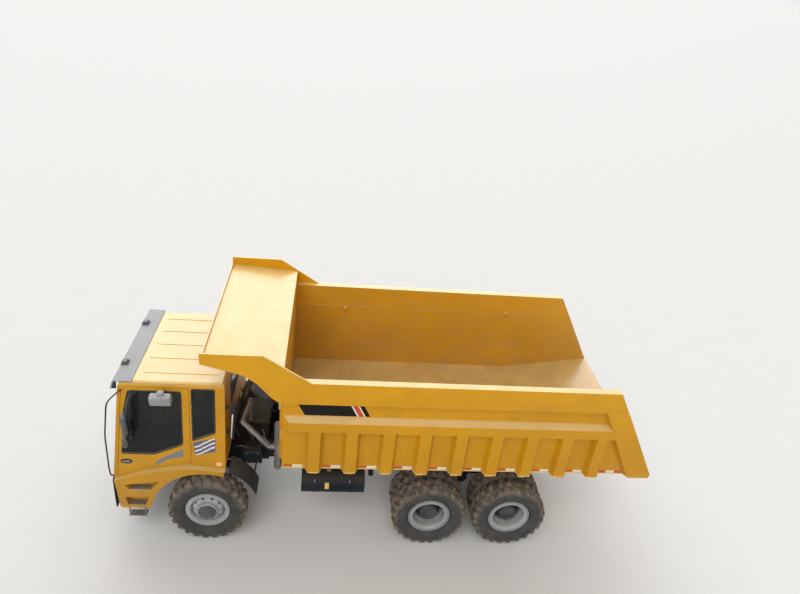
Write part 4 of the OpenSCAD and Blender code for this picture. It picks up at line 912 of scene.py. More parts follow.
# %% [markdown]
# ## Window seals
# Each pane is held by a black rubber profile that grips the sheet's edge. A low section with
# sloping flanks, carried round the rounded window outline, shows the thin shaded line that a
# painted-on border would not.

# %% Rubber seals round the panes
DOOR_WINDOW = [(3.504, 2.985), (4.335, 2.985), (4.425, 2.610), (4.505, 1.765), (3.980, 1.759),
               (3.504, 1.960)]
QUARTER_WINDOW = [(2.965, 3.040), (3.335, 3.040), (3.335, 2.045), (2.965, 2.204)]
WINDSCREEN = [(-1.12, 1.96), (1.12, 1.96), (1.04, 2.93), (-1.04, 2.93)]
REAR_WINDOW = [(-0.56, 2.30), (0.56, 2.30), (0.56, 2.80), (-0.56, 2.80)]
SEAL_SECTION = [(-0.024, -0.018), (-0.020, 0.003), (-0.012, 0.007), (0.004, 0.007), (0.010, 0.003),
                (0.014, -0.018)]


def side_seal(outline, corner):
    """A closed seal on the left wall, round an outline of (x, z) points."""
    return band(rounded_loop(on_side(outline), corner), SEAL_SECTION, SIDE_NORMAL)


door_seal = side_seal(DOOR_WINDOW, 0.045)
quarter_seal = side_seal(QUARTER_WINDOW, 0.030)
add_piece("door_left_window_seal", *door_seal, rubber_seal, "door_left", "tyre_rubber", smooth=True)
add_piece("door_right_window_seal", *mirrored(door_seal), rubber_seal, "door_right", "tyre_rubber",
          smooth=True)
screen_seal = band(rounded_loop(on_front(WINDSCREEN), 0.08), SEAL_SECTION, FRONT_NORMAL)
rear_path = [(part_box("cab_shell")[0].x, y, z) for y, z in REAR_WINDOW]
rear_seal = band(rounded_loop(rear_path, 0.05), SEAL_SECTION, (-1, 0, 0))
add_piece("cab_window_seals", *stacked(both([quarter_seal]) + [screen_seal, rear_seal]),
          rubber_seal, "chassis", "tyre_rubber", smooth=True)
all_seals = (door_seal, quarter_seal, screen_seal, rear_seal)
print("seal faces:", sum(len(seal[1]) for seal in all_seals))

# %% [markdown]
# ## Door handles and side reflectors
# The handle is a dark oval dish with a flat pull in it. A dish is a grid in polar form: a short
# table gives its height at each distance from the middle, so that one formula makes the rim, the
# wall and the floor.

# %% Door handles and small side fittings
HANDLE_AT = (4.442, 1.605)
HANDLE_HALF = (0.100, 0.050)


def oval_dish(centre, half, profile):
    """Polar grid on the side wall: share r and turn t give x and z = centre + half r (cos t, sin
    t), lifted by profile."""
    radius, lift = np.array(profile).T
    turn = np.linspace(0, 2 * np.pi, 36, endpoint=False)
    outline = np.stack([centre[0] + half[0] * radius[:, None] * np.cos(turn),
                        centre[1] + half[1] * radius[:, None] * np.sin(turn)], axis=-1)
    flat = on_side(outline.reshape(-1, 2)).reshape(len(radius), len(turn), 3)
    flat = flat + lift[:, None, None] * SIDE_NORMAL
    return flat.reshape(-1, 3), tube_faces(len(radius), len(turn))


DISH = [(1.0, -0.004), (1.0, 0.003), (0.93, 0.006), (0.84, 0.0045), (0.70, 0.0015), (0.05, 0.0010)]
handle_dish = oval_dish(HANDLE_AT, HANDLE_HALF, DISH)
PULL_PATH = np.array(HANDLE_AT) + [(-0.062, 0), (-0.03, 0.002), (0.03, 0.002), (0.062, 0)]
PULL_SECTION = [(-0.017, -0.004), (-0.015, 0.007), (0.015, 0.007), (0.017, -0.004)]
pull = band(on_side(PULL_PATH, 0.006), PULL_SECTION, SIDE_NORMAL, False)
lock = oval_dish((HANDLE_AT[0] - 0.155, HANDLE_AT[1] + 0.005), (0.016, 0.016),
                 [(1.0, -0.004), (1.0, 0.004), (0.8, 0.006), (0.3, 0.006), (0.2, 0.003)])
for side_name, turn_over in SIDES:
    body = "door_" + side_name
    add_piece(body + "_handle_dish", *turn_over(handle_dish), black_plastic, body, "grey_plastic",
              smooth=True)
    add_piece(body + "_handle_pull", *stacked([turn_over(pull), turn_over(lock)]), bright_steel,
              body, "raw_steel")
reflector = plate(on_side([(2.855, 1.545), (2.955, 1.540), (2.955, 1.612), (2.855, 1.617)], -0.002),
                  0.012 * SIDE_NORMAL)
add_piece("cab_side_markers", *stacked(both([reflector])), pale_orange, "chassis", "lamp_lens")
print("dish faces:", len(handle_dish[1]))

# %% [markdown]
# ## Stripes on the cab
# The door carries a long grey wedge and the panel behind it three waving white bands on blue-grey.
# They are film, so they are plates one millimetre thick. A waving band is a grid: its two edges are
# the same curve, a smooth step, at two heights.

# %% Decals on the cab's sides
WEDGE = [(3.995, 1.530), (3.955, 1.600), (3.880, 1.668), (3.780, 1.725), (3.640, 1.795),
         (3.495, 1.873), (3.509, 1.710), (3.640, 1.683), (3.790, 1.640), (3.860, 1.585),
         (3.930, 1.548)]
FILM, FILM_LIFT, UPPER_FILM_LIFT = 0.0012, 0.0004, 0.0018
BAND_FIELD = [(3.334, 1.999), (2.960, 2.110), (2.964, 1.837), (3.300, 1.746)]


def film(outline, lift):
    """A thin plate on the left wall."""
    return plate(on_side(outline, lift), FILM * SIDE_NORMAL)


def field_point(u, v):
    """Bilinear place in the band field: u runs forward to back, v from its lower to its upper
    edge."""
    front_top, back_top, back_low, front_low = np.array(BAND_FIELD)
    low = front_low + u[..., None] * (back_low - front_low)
    top = front_top + u[..., None] * (back_top - front_top)
    return low + v[..., None] * (top - low)


def waving_band(v_low, v_high, lift):
    """Band between two heights that climbs in two steps: v + 0.07 tanh(9 (u - 0.36)) + 0.07 tanh(9
    (u - 0.68))."""
    u = np.linspace(0.02, 0.98, 33)
    climb = 0.07 * np.tanh(9 * (u - 0.36)) + 0.07 * np.tanh(9 * (u - 0.68))
    edges = [field_point(u, np.clip(v + climb, 0.02, 0.98)) for v in (v_low, v_high)]
    points = np.concatenate([on_side(edge, lift + extra) for extra in (0, FILM) for edge in edges])
    count = len(u)
    index = np.arange(4 * count).reshape(4, count)[[0, 1, 3, 2]]
    following = np.roll(index, -1, axis=0)
    faces = np.stack([index[:, :-1], index[:, 1:], following[:, 1:], following[:, :-1]],
                     axis=-1).reshape(-1, 4).tolist()
    faces += [index[:, end].tolist() for end in (0, -1)]
    return (points, faces)


wedge_film = film(WEDGE, FILM_LIFT)
field_film = film(BAND_FIELD, FILM_LIFT)
white_bands = [waving_band(v, v + 0.13, UPPER_FILM_LIFT) for v in (0.12, 0.43, 0.74)]
for side_name, turn_over in SIDES:
    add_piece("door_" + side_name + "_wedge", *turn_over(wedge_film), decal_grey,
              "door_" + side_name, "grey_plastic")
    add_piece("cab_" + side_name + "_band_field", *turn_over(field_film), decal_blue, "chassis",
              "grey_plastic")
    add_piece("cab_" + side_name + "_bands", *stacked([turn_over(shape) for shape in white_bands]),
              tape_white, "chassis", "lamp_lens")
print("white bands a side:", len(white_bands))

# %% [markdown]
# ## Bolts and rivets
# Round-headed bolts come in rows of dozens. One function turns a table of places and one direction
# into a single mesh of low domes with a dozen faces each.

# %% Rows of bolts


def domes(places, direction, radius, rise, sides=8):
    """Low domes: three rings a bolt, narrower towards the tip, all bolts computed as one array."""
    places = np.asarray(places, float).reshape(-1, 3)
    direction = np.asarray(direction, float) / np.linalg.norm(direction)
    helper = np.array([0, 0, 1.0]) if abs(direction[2]) < 0.9 else np.array([1.0, 0, 0])
    side = np.cross(helper, direction)
    side /= np.linalg.norm(side)
    across = np.cross(direction, side)
    turn = np.linspace(0, 2 * np.pi, sides, endpoint=False)
    ring = np.cos(turn)[:, None] * side + np.sin(turn)[:, None] * across
    levels = [(1.0, -0.25), (1.0, 0.45), (0.62, 1.0)]
    rings = np.concatenate([radius * r * ring + rise * h * direction for r, h in levels])
    points = (places[:, None] + rings[None]).reshape(-1, 3)
    dome = tube_faces(len(levels), sides)
    faces = [[start + i for i in face]
             for start in range(0, len(points), len(rings)) for face in dome]
    return points, faces


def row(start, end, count):
    """Evenly spaced points from start to end."""
    share = np.linspace(0, 1, count)[:, None]
    return (1 - share) * np.asarray(start, float) + share * np.asarray(end, float)


RAIL_Y, RAIL_LOW, RAIL_TOP = 0.500, 1.030, 1.350
RIVET_EDGE, RIVETS_A_ROW = 0.045, 60
rail_rivets = []
for z in (RAIL_LOW + RIVET_EDGE, RAIL_TOP - RIVET_EDGE):
    rivet_places = row((-3.44, RAIL_Y, z), (4.28, RAIL_Y, z), RIVETS_A_ROW)
    rail_rivets.append(domes(rivet_places, (0, 1, 0), 0.011, 0.009))
add_piece("frame_rivets", *stacked(both(rail_rivets)), black_paint, "chassis", "black_paint")
FENDER_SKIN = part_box("fender_left")[1].y
fender_bolts = [
    domes(row((4.53, FENDER_SKIN, 0.70), (4.575, FENDER_SKIN, 1.18), 4), (0, 1, 0), 0.009, 0.007),
    domes(row((2.86, FENDER_SKIN, 1.445), (3.42, FENDER_SKIN, 1.505), 4), (0, 1, 0), 0.008, 0.006)]
for side_name, turn_over in SIDES:
    add_piece("fender_" + side_name + "_bolts",
              *stacked([turn_over(shape) for shape in fender_bolts]), bright_steel,
              "chassis", "raw_steel")
print("rivets:", 2 * len(rail_rivets) * RIVETS_A_ROW)

# %% [markdown]
# ## The bed's lower lip and reflective tape
# The side sheet and its ribs end in a folded lip. It is one strip carried along the rib outline seen
# from above, painted pale cream: a painted highlight for the thin pale line where the lip catches
# the light. Between the ribs lie short red and white reflective tapes.

# %% Lip and tapes of the bed
SHEET_Y, RIB_FACE_Y, BED_FOOT_Z = 1.590, 1.700, 1.800
RIB_FIRST_X, RIB_PITCH, RIB_COUNT = 1.288, 0.616, 9
RIB_HALF, FLANK = 0.095, 0.050
PANEL_FRONT_X, PANEL_REAR_X = 1.820, -4.270


def rib_outline():
    """The sheet and its ribs seen from above, front to rear: each rib is four points at x +- half
    (+ flank)."""
    middle = RIB_FIRST_X - RIB_PITCH * np.arange(RIB_COUNT)
    steps = np.array([RIB_HALF + FLANK, RIB_HALF, -RIB_HALF, -RIB_HALF - FLANK])
    x = (middle[:, None] + steps).reshape(-1)
    y = np.tile([SHEET_Y, RIB_FACE_Y, RIB_FACE_Y, SHEET_Y], RIB_COUNT)
    path = np.stack([x, y, np.full(len(x), BED_FOOT_Z)], axis=-1)
    return np.vstack([[PANEL_FRONT_X, SHEET_Y, BED_FOOT_Z], path,
                      [PANEL_REAR_X, SHEET_Y, BED_FOOT_Z]])


def sheet_film(outline):
    """A thin plate with an (x, z) outline on the bed's left side sheet."""
    return plate([(x, SHEET_Y + FILM_LIFT, z) for x, z in outline], (0, FILM, 0))


LIP_SECTION = [(-0.024, -0.016), (-0.024, -0.001), (0.0, -0.001), (0.0, -0.016)]
lip = band(rib_outline(), LIP_SECTION, (0, 0, 1), False)
# The lip's pale cream is a painted highlight.
add_piece("bed_lower_lips", *stacked(both([lip])), painted_lip_highlight, "bed", "yellow_paint")
gap_ends = [(PANEL_FRONT_X - 0.035, RIB_FIRST_X + RIB_HALF + FLANK + 0.045)]
for number in range(RIB_COUNT - 1):
    front = RIB_FIRST_X - RIB_PITCH * number - RIB_HALF - FLANK
    gap_ends.append((front - 0.008, front - (RIB_PITCH - 2 * (RIB_HALF + FLANK)) + 0.012))
last_front = RIB_FIRST_X - RIB_PITCH * (RIB_COUNT - 1) - RIB_HALF - FLANK
red_films, white_films = [], []
TAPE_LOW, TAPE_HIGH = 1.812, 1.864


def tape(front, rear, low=TAPE_LOW):
    """A length of tape between two places along the sheet's foot."""
    return sheet_film([(front, low), (rear, low), (rear, TAPE_HIGH), (front, TAPE_HIGH)])


for front, rear in gap_ends:
    middle = front + 0.46 * (rear - front)
    red_films.append(tape(front, middle, TAPE_LOW + 0.014))
    white_films.append(tape(middle, rear))
for films, front, rear in ((red_films, 0.010, 0.150), (white_films, 0.150, 0.310),
                           (red_films, 0.310, 0.450)):
    films.append(tape(last_front - front, last_front - rear))
add_piece("bed_red_tapes", *stacked(both(red_films)), tape_red, "bed", "lamp_lens")
add_piece("bed_white_tapes", *stacked(both(white_films)), tape_white, "bed", "lamp_lens")
print("tapes a side:", len(red_films) + len(white_films))

# %% [markdown]
# ## Slanted stripes on the bed
# Over the waist beam the sheet carries a black field and a red and a black slash, divided by thin
# white lines. All of them lean forward by the same amount, so one table of widths makes them.

# %% Slanted stripes
STRIPE_LOW, STRIPE_HIGH, STRIPE_LEAN = 2.934, 3.198, 0.52
STRIPES = [("black", 1.465, 0.615), ("white", 0.615, 0.587), ("red", 0.587, 0.502),
           ("white", 0.502, 0.476), ("black", 0.476, 0.400)]
forward = STRIPE_LEAN * (STRIPE_HIGH - STRIPE_LOW)
stripe_films = {"black": [], "white": [], "red": []}
for colour_name, front, rear in STRIPES:
    outline = [(front, STRIPE_LOW), (rear, STRIPE_LOW), (rear + forward, STRIPE_HIGH),
               (front + forward, STRIPE_HIGH)]
    stripe_films[colour_name].append(sheet_film(outline))
for colour_name, finish in (("black", decal_black), ("white", tape_white), ("red", tape_red)):
    add_piece("bed_" + colour_name + "_stripes", *stacked(both(stripe_films[colour_name])), finish,
              "bed", "grey_plastic")
print("stripes:", len(STRIPES))

# %% [markdown]
# ## Lifting ears and welds
# Four small ears stand on the inner walls. The plates are joined by weld beads, and a bead is a
# tube whose radius swells and shrinks along its length.

# %% Lifting ears and weld beads
INNER_WALL_Y = 1.570
EARS = [(0.815, 3.160), (-2.545, 3.215)]


def lifting_ear(x, z):
    """A wedge on the inner side of the left wall: its outline in (y, z) is carried along x."""
    outline = [(0.0, 0.045), (-0.050, 0.020), (-0.062, -0.012), (-0.045, -0.034), (0.0, -0.060)]
    points = [(x - 0.016, INNER_WALL_Y + y, z + dz) for y, dz in outline]
    return plate(points, (0.032, 0, 0))


def weld(start, end, radius=0.006, pitch=0.03):
    """A bead from start to end: radius r (1 + 0.22 cos(2 pi s / pitch)) at the distance s."""
    start, end = np.asarray(start, float), np.asarray(end, float)
    length = np.linalg.norm(end - start)
    count = int(np.clip(length / pitch * 2, 4, 260))
    share = np.linspace(0, 1, count)
    swelling = radius * (1 + 0.22 * np.cos(np.pi * np.arange(count)))
    helper = (0, 0, 1) if abs((end - start)[2]) < 0.9 * length else (0, 1, 0)
    return tube((1 - share)[:, None] * start + share[:, None] * end, swelling, 6, False, helper)


ears = both([lifting_ear(x, z) for x, z in EARS])
add_piece("bed_lifting_ears", *stacked(ears), bed_paint, "bed", "yellow_paint")
beads = [weld((1.79, INNER_WALL_Y, 3.205), (-3.66, INNER_WALL_Y, 3.205)),
         weld((1.79, INNER_WALL_Y - 0.001, 1.861), (-2.69, INNER_WALL_Y - 0.001, 1.861), 0.010),
         weld((1.78, SHEET_Y + 0.002, 2.927), (-4.02, SHEET_Y + 0.002, 2.927))]
for number in range(RIB_COUNT):
    for way in (-1, 1):
        x = RIB_FIRST_X - RIB_PITCH * number + way * (RIB_HALF + FLANK)
        beads.append(weld((x, SHEET_Y + 0.001, 1.81), (x, SHEET_Y + 0.001, 2.655), 0.004))
add_piece("bed_weld_beads", *stacked(both(beads)), bed_paint, "bed", "yellow_paint", smooth=True)
cross_beads = [weld((1.798, -1.56, 1.862), (1.798, 1.56, 1.862), 0.010),
               weld((-2.70, -1.56, 1.861), (-2.70, 1.56, 1.861), 0.006)]
add_piece("bed_floor_beads", *stacked(cross_beads), bed_paint, "bed", "yellow_paint", smooth=True)
print("weld beads:", 2 * len(beads) + len(cross_beads))

# %% [markdown]
# ## Tank, its straps and the pipes beside it
# The left tank is a plain cylinder held by two steel straps with a bright clamp bolt, with a filler
# cap on top and pipes running over it to the frame. A small yellow warning plate without any text
# sits on its side.

# %% Tank straps, cap, plate and pipes
TANK_Y, TANK_Z, TANK_R = 1.100, 1.055, 0.225
turn = np.linspace(0, 2 * np.pi, 48, endpoint=False)


def tank_ring(x, width, thickness):
    """A closed band round the tank: circle of the tank's radius in the (y, z) plane, carried with a
    flat section."""
    outward_way = np.stack([np.zeros(len(turn)), np.cos(turn), np.sin(turn)], axis=-1)
    circle = np.array([x, TANK_Y, TANK_Z]) + TANK_R * outward_way
    half = width / 2
    section = [(-half, -0.002), (-half, thickness), (half, thickness), (half, -0.002)]
    return band(circle, section, outward_way)


straps = [tank_ring(x, 0.045, 0.006) for x in (0.62, 1.25)]
beads_on_tank = [tank_ring(x, 0.014, 0.004) for x in (0.372, 0.92, 1.468)]
clamp_bolts = [chamfered_block((x, TANK_Y + TANK_R * 0.86, TANK_Z + TANK_R * 0.62),
                               (0.03, 0.035, 0.05), 0.006) for x in (0.62, 1.25)]
add_piece("left_tank_straps", *stacked(straps + beads_on_tank), black_paint, "chassis",
          "black_paint", smooth=False)
cap_path = [(1.00, TANK_Y, TANK_Z + TANK_R - 0.01), (1.00, TANK_Y, TANK_Z + TANK_R + 0.030),
            (1.00, TANK_Y, TANK_Z + TANK_R + 0.031), (1.00, TANK_Y, TANK_Z + TANK_R + 0.055)]
cap = tube(cap_path, [0.045, 0.045, 0.055, 0.052], 20, False, (0, 1, 0))
add_piece("left_tank_fittings", *stacked([cap] + clamp_bolts), bright_steel, "chassis", "raw_steel")
angles = np.radians([27, 16, 5, -6])
PLATE_LIFT, PLATE_THICK, PLATE_ENDS_X = 0.0015, 0.0025, (0.995, 1.068)
outward_ways = np.repeat(np.stack([np.zeros(4), np.cos(angles), np.sin(angles)], axis=-1), 2,
                         axis=0)
plate_ends = np.stack([np.tile(PLATE_ENDS_X, 4), np.full(8, TANK_Y), np.full(8, TANK_Z)], axis=-1)
sheet_points = plate_ends + (TANK_R + PLATE_LIFT) * outward_ways
sheet_faces = grid_faces(4, 2, False, False)
rim = np.array([0, 1, 3, 5, 7, 6, 4, 2])
after = np.roll(rim, -1)
rim_faces = np.stack([rim, after, after + 8, rim + 8], axis=-1)
warning = (np.vstack([sheet_points, sheet_points - PLATE_THICK * outward_ways]),
           np.vstack([sheet_faces, sheet_faces + 8, rim_faces]).tolist())
add_piece("left_tank_plate", *warning, plate_yellow, "chassis", "yellow_paint")


def bent_pipe(corners, radius, reach=0.06, sides=10, reference=(0.13, 0.21, 1)):
    """A round pipe through corners; each bend is a quadratic curve (1-t)^2 a + 2t(1-t) corner + t^2
    b."""
    corners = np.asarray(corners, float)
    parts = [corners[:1]]
    for before, corner, after in zip(corners[:-2], corners[1:-1], corners[2:]):
        back, ahead = before - corner, after - corner
        a = corner + back * min(0.45, reach / np.linalg.norm(back))
        b = corner + ahead * min(0.45, reach / np.linalg.norm(ahead))
        t = np.linspace(0, 1, 6)[:, None]
        parts.append((1 - t) ** 2 * a + 2 * t * (1 - t) * corner + t ** 2 * b)
    parts.append(corners[-1:])
    return tube(np.vstack(parts), radius, sides, False, reference)


upper_pipes = [bent_pipe([(1.72, 0.52, 1.22), (1.66, 0.86, 1.30), (1.55, 0.98, 1.335),
                          (0.42, 0.98, 1.335), (0.30, 0.80, 1.28), (0.30, 0.51, 1.22)], 0.016),
               bent_pipe([(1.60, 0.51, 1.28), (1.45, 0.92, 1.375), (0.60, 0.92, 1.375),
                          (0.42, 0.70, 1.30), (0.42, 0.51, 1.26)], 0.011)]
valve = [chamfered_block((0.235, 1.06, 1.20), (0.09, 0.10, 0.11), 0.015),
         chamfered_block((0.235, 1.14, 1.27), (0.05, 0.05, 0.07), 0.010),
         bent_pipe([(0.235, 1.06, 1.15), (0.235, 0.95, 1.06), (0.235, 0.51, 1.06)], 0.022),
         bent_pipe([(0.235, 1.06, 1.25), (0.18, 1.02, 1.33), (0.02, 0.80, 1.33),
                    (0.02, 0.51, 1.28)], 0.012)]
add_piece("left_pipes", *stacked(upper_pipes + valve), iron_paint, "chassis", "grey_iron",
          smooth=False)
print("tank straps:", len(straps), "pipes:", len(upper_pipes))

# %% [markdown]
# ## Air tanks, brake chambers and spring bolts
# Dump trucks brake with compressed air: small tanks hang inside the rails and a round chamber sits
# on every axle. The springs are tied to their axles by pairs of U-shaped bolts.

# %% Air tanks, brake chambers and U-bolts


def drum(start, end, radius, dome=0.30):
    """A cylinder with domed ends: the radius follows r sqrt(1 - (1 - s)^2) over the domes."""
    start, end = np.asarray(start, float), np.asarray(end, float)
    length = np.linalg.norm(end - start)
    share = np.linspace(0, 1, 5)[1:]
    rise = dome * radius / length
    stations = np.concatenate([[0], rise * share, [1 - rise], 1 - rise * share[::-1][1:], [1]])
    profile = radius * np.sqrt(np.clip(1 - (1 - share) ** 2, 0.0, 1))
    sizes = np.concatenate([[0.12 * radius], profile, [radius], profile[::-1][1:], [0.12 * radius]])
    helper = (0, 0, 1) if abs((end - start)[2]) < 0.9 * length else (0, 1, 0)
    path = (1 - stations)[:, None] * start + stations[:, None] * end
    return tube(path, sizes, 20, False, helper)


air_tanks = [drum((1.62, 0.30, 1.24), (1.02, 0.30, 1.24), 0.085),
             drum((-1.10, 0.33, 1.22), (-0.60, 0.33, 1.22), 0.080)]
add_piece("air_tanks", *stacked(both(air_tanks)), black_paint, "chassis", "black_paint",
          smooth=True)
chambers = []
for axle_x in (-0.850, -2.350):
    chambers += [drum((axle_x + 0.24, 0.66, 0.83), (axle_x + 0.42, 0.66, 0.86), 0.080),
                 bent_pipe([(axle_x + 0.10, 0.66, 0.78), (axle_x + 0.25, 0.66, 0.83)], 0.018)]
chambers += [drum((3.28, 0.80, 0.86), (3.42, 0.80, 0.88), 0.070),
             bent_pipe([(3.16, 0.80, 0.78), (3.29, 0.80, 0.86)], 0.016)]
add_piece("brake_chambers", *stacked(both(chambers)), iron_paint, "chassis", "grey_iron",
          smooth=True)
u_bolts = []
for x in (3.035, 3.165):
    u_bolts.append(bent_pipe([(x, 0.398, 0.56), (x, 0.398, 0.835), (x, 0.502, 0.835),
                              (x, 0.502, 0.56)], 0.011, 0.03))
add_piece("spring_bolts", *stacked(both(u_bolts)), bright_steel, "chassis", "raw_steel",
          smooth=True)
print("air tanks:", 2 * len(air_tanks), "spring bolts:", 2 * len(u_bolts))

# %% [markdown]
# ## Front of the cab
# Wipers rest along the windscreen's foot, two small marker lamps sit on the visor, and the
# headlamps have frames with an amber lamp outside. The upright rails are clamped to the front wall.
# A dark screen stands behind the grille and keeps stones off the radiator.

# %% Wipers, marker lamps and lamp frames


def wiper(pivot_y, tip_y):
    """An arm and a blade that lie on the windscreen: points (y, z) on the front wall, lifted off
    the pane."""
    middle_y = 0.45 * pivot_y + 0.55 * tip_y
    arm = tube(on_front([(pivot_y, 1.900), (0.6 * pivot_y + 0.4 * middle_y, 1.945),
                         (middle_y, 2.000)], 0.030),
               [0.010, 0.008, 0.006], 8, False, FRONT_NORMAL)
    blade = band(on_front([(pivot_y, 1.985), (tip_y, 2.016)], 0.004),
                 [(-0.006, 0), (-0.003, 0.022), (0.003, 0.022), (0.006, 0)], FRONT_NORMAL, False)
    pin_ends = np.vstack([on_front([(pivot_y, 1.900)], lift) for lift in (-0.004, 0.036)])
    pivot = tube(pin_ends, 0.020, 14, False, (0, 1, 0))
    return [arm, blade, pivot]


wipers = wiper(0.92, 0.10) + wiper(-0.05, -0.87)
add_piece("wipers", *stacked(wipers), black_plastic, "chassis", "grey_plastic")
marker_foot = chamfered_block((4.500, 0.64, 3.168), (0.120, 0.130, 0.030), 0.010)
marker_lens = chamfered_block((4.500, 0.64, 3.198), (0.100, 0.105, 0.040), 0.016)
visor_end = plate([(4.506, 1.146, 3.138), (4.540, 1.146, 3.138), (4.598, 1.146, 3.004),
                   (4.518, 1.146, 3.004)], (0, -0.012, 0))
add_piece("visor_ends", *stacked(both([visor_end])), black_plastic, "chassis", "grey_plastic")
add_piece("visor_lamp_feet", *stacked(both([marker_foot])), black_plastic, "chassis",
          "grey_plastic")
add_piece("visor_lamp_lenses", *stacked(both([marker_lens])), smoked_lens, "chassis", "lamp_lens")
lamp_path = rounded_loop([(4.698, 0.995, 0.895), (4.698, 1.295, 0.895), (4.698, 1.295, 1.065),
                          (4.698, 0.995, 1.065)], 0.035)
lamp_frame = band(lamp_path, [(-0.012, -0.003), (-0.010, 0.002), (0.008, 0.002), (0.012, -0.010)],
                  (1, 0, 0))
bulbs = [tube([(4.683, y, 0.98), (4.688, y, 0.98), (4.6925, y, 0.98)], [0.052, 0.060, 0.048], 24)
         for y in (1.075, 1.215)]
indicator = plate([(4.672, 1.330, 0.905), (4.672, 1.330, 1.055), (4.655, 1.405, 1.055),
                   (4.655, 1.405, 0.905)], (0.008, 0.0015, 0))
add_piece("headlamp_frames", *stacked(both([lamp_frame])), black_plastic, "chassis", "grey_plastic")
add_piece("headlamp_bulbs", *stacked(both(bulbs)), headlamp_glass, "chassis",
          "lamp_lens", smooth=True)
add_piece("indicator_lamps", *stacked(both([indicator])), amber_lens, "chassis", "lamp_lens")
RAIL_CORNERS = [(4.640, 1.300, 1.310), (4.703, 1.385, 1.315), (4.703, 1.425, 1.520),
                (4.690, 1.425, 2.250), (4.600, 1.425, 2.900), (4.540, 1.380, 2.985),
                (4.440, 1.130, 2.990)]
rail_loop = bent_pipe(RAIL_CORNERS, 0.0125, 0.09, 12)
rails = add_piece("front_corner_rails", *stacked(both([rail_loop])), black_plastic, "chassis",
                  "black_paint", smooth=True)
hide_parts("front_grab_rails")
clamps = [chamfered_block((4.655, 1.315, 1.310), (0.036, 0.040, 0.040), 0.006),
          chamfered_block((4.452, 1.160, 2.990), (0.040, 0.036, 0.040), 0.006)]
grille_bolts = domes(row((4.640, 0.545, 1.42), (4.620, 0.545, 1.70), 3), (1, 0, 0.09), 0.009, 0.006)
bumper_bolts = domes(row((4.699, 0.70, 0.70), (4.699, 1.28, 0.70), 4), (1, 0, 0), 0.012, 0.008)
grille_screen = chamfered_block((4.590, 0.0, 1.500), (0.008, 1.040, 0.500), 0.002)
add_piece("grille_screen", *grille_screen, black_plastic, "chassis", "grey_plastic")
add_piece("front_rail_clamps", *stacked(both(clamps)), black_plastic, "chassis", "grey_plastic")
add_piece("bumper_bolts", *stacked(both([bumper_bolts, grille_bolts])), bright_steel, "chassis",
          "raw_steel")
print("wipers' parts:", len(wipers), "rail clamps:", 2 * len(clamps))

# %% [markdown]
# ## Mirrors
# Each door carries two tall mirrors on a bent tube ahead of its window, and the left door has the
# kerb mirror over the window too. A head is a moulded housing with full, rounded sides. A
# superellipsoid gives that with one formula, where a bevelled block would look cut. Its flat glass
# is a plate set into the rear face.

# %% Mirrors
MIRROR_TURN = np.array(Matrix.Rotation(math.radians(8), 3, "Z")
                       @ Matrix.Rotation(math.radians(3.7), 3, "Y"))
HEADS = [(2.560, 0.380, 0.200), (2.215, 0.210, 0.190)]
HEAD_TOP_X, HEAD_TOP_Z, HEAD_Y, HEAD_LEAN = 4.312, 2.930, 1.488, 0.064
ARM_CORNERS = [(4.330, 1.235, 2.060), (4.345, 1.470, 2.055), (4.290, 1.470, 2.900),
               (4.290, 1.130, 2.985)]


def boxed(value, power):
    """A sine or cosine pushed towards -1 and 1: sign(v) |v|^power."""
    return np.sign(value) * np.abs(value) ** power


def housing(centre, half_sizes, turn, boxy=0.38, rows=18, columns=36):
    """A superellipsoid: half size times sign(c) |c|^boxy of the sphere's cosines and sines, then
    turned."""
    up = np.linspace(-np.pi / 2, np.pi / 2, rows)[:, None]
    around = np.linspace(0, 2 * np.pi, columns, endpoint=False)[None, :]
    level = boxed(np.cos(up), boxy)
    points = np.stack([level * boxed(np.cos(around), boxy), level * boxed(np.sin(around), boxy),
                       boxed(np.sin(up), boxy) * np.ones_like(around)], axis=-1)
    inner = points[1:-1].reshape(-1, 3)
    poles = np.array([(0, 0, -1.0), (0, 0, 1.0)])
    points = np.vstack([inner, poles]) * np.asarray(half_sizes) @ turn.T + centre
    faces = grid_faces(rows - 2, columns, False, True).tolist()
    last = (rows - 3) * columns
    south, north = len(inner), len(inner) + 1
    ahead = np.roll(np.arange(columns), -1)
    faces += [[i, int(ahead[i]), south] for i in range(columns)]
    faces += [[last + int(ahead[i]), last + i, north] for i in range(columns)]
    return (points, faces)


def head_middle(z):
    """The middle of a head at a height: the heads stand further forward the lower they are."""
    return np.array([HEAD_TOP_X + (HEAD_TOP_Z - z) * HEAD_LEAN, HEAD_Y, z])


def mirror_glass(z, tall, wide):
    """A rounded plate in the head's own frame, turned and moved to the head's rear face."""
    half_wide, half_tall = wide / 2 - 0.020, tall / 2 - 0.022
    loop = rounded_loop([(-0.040, across * half_wide, up * half_tall)
                         for across, up in ((-1, -1), (1, -1), (1, 1), (-1, 1))], 0.030)
    return plate(loop @ MIRROR_TURN.T + head_middle(z), MIRROR_TURN @ (-0.0035, 0, 0))


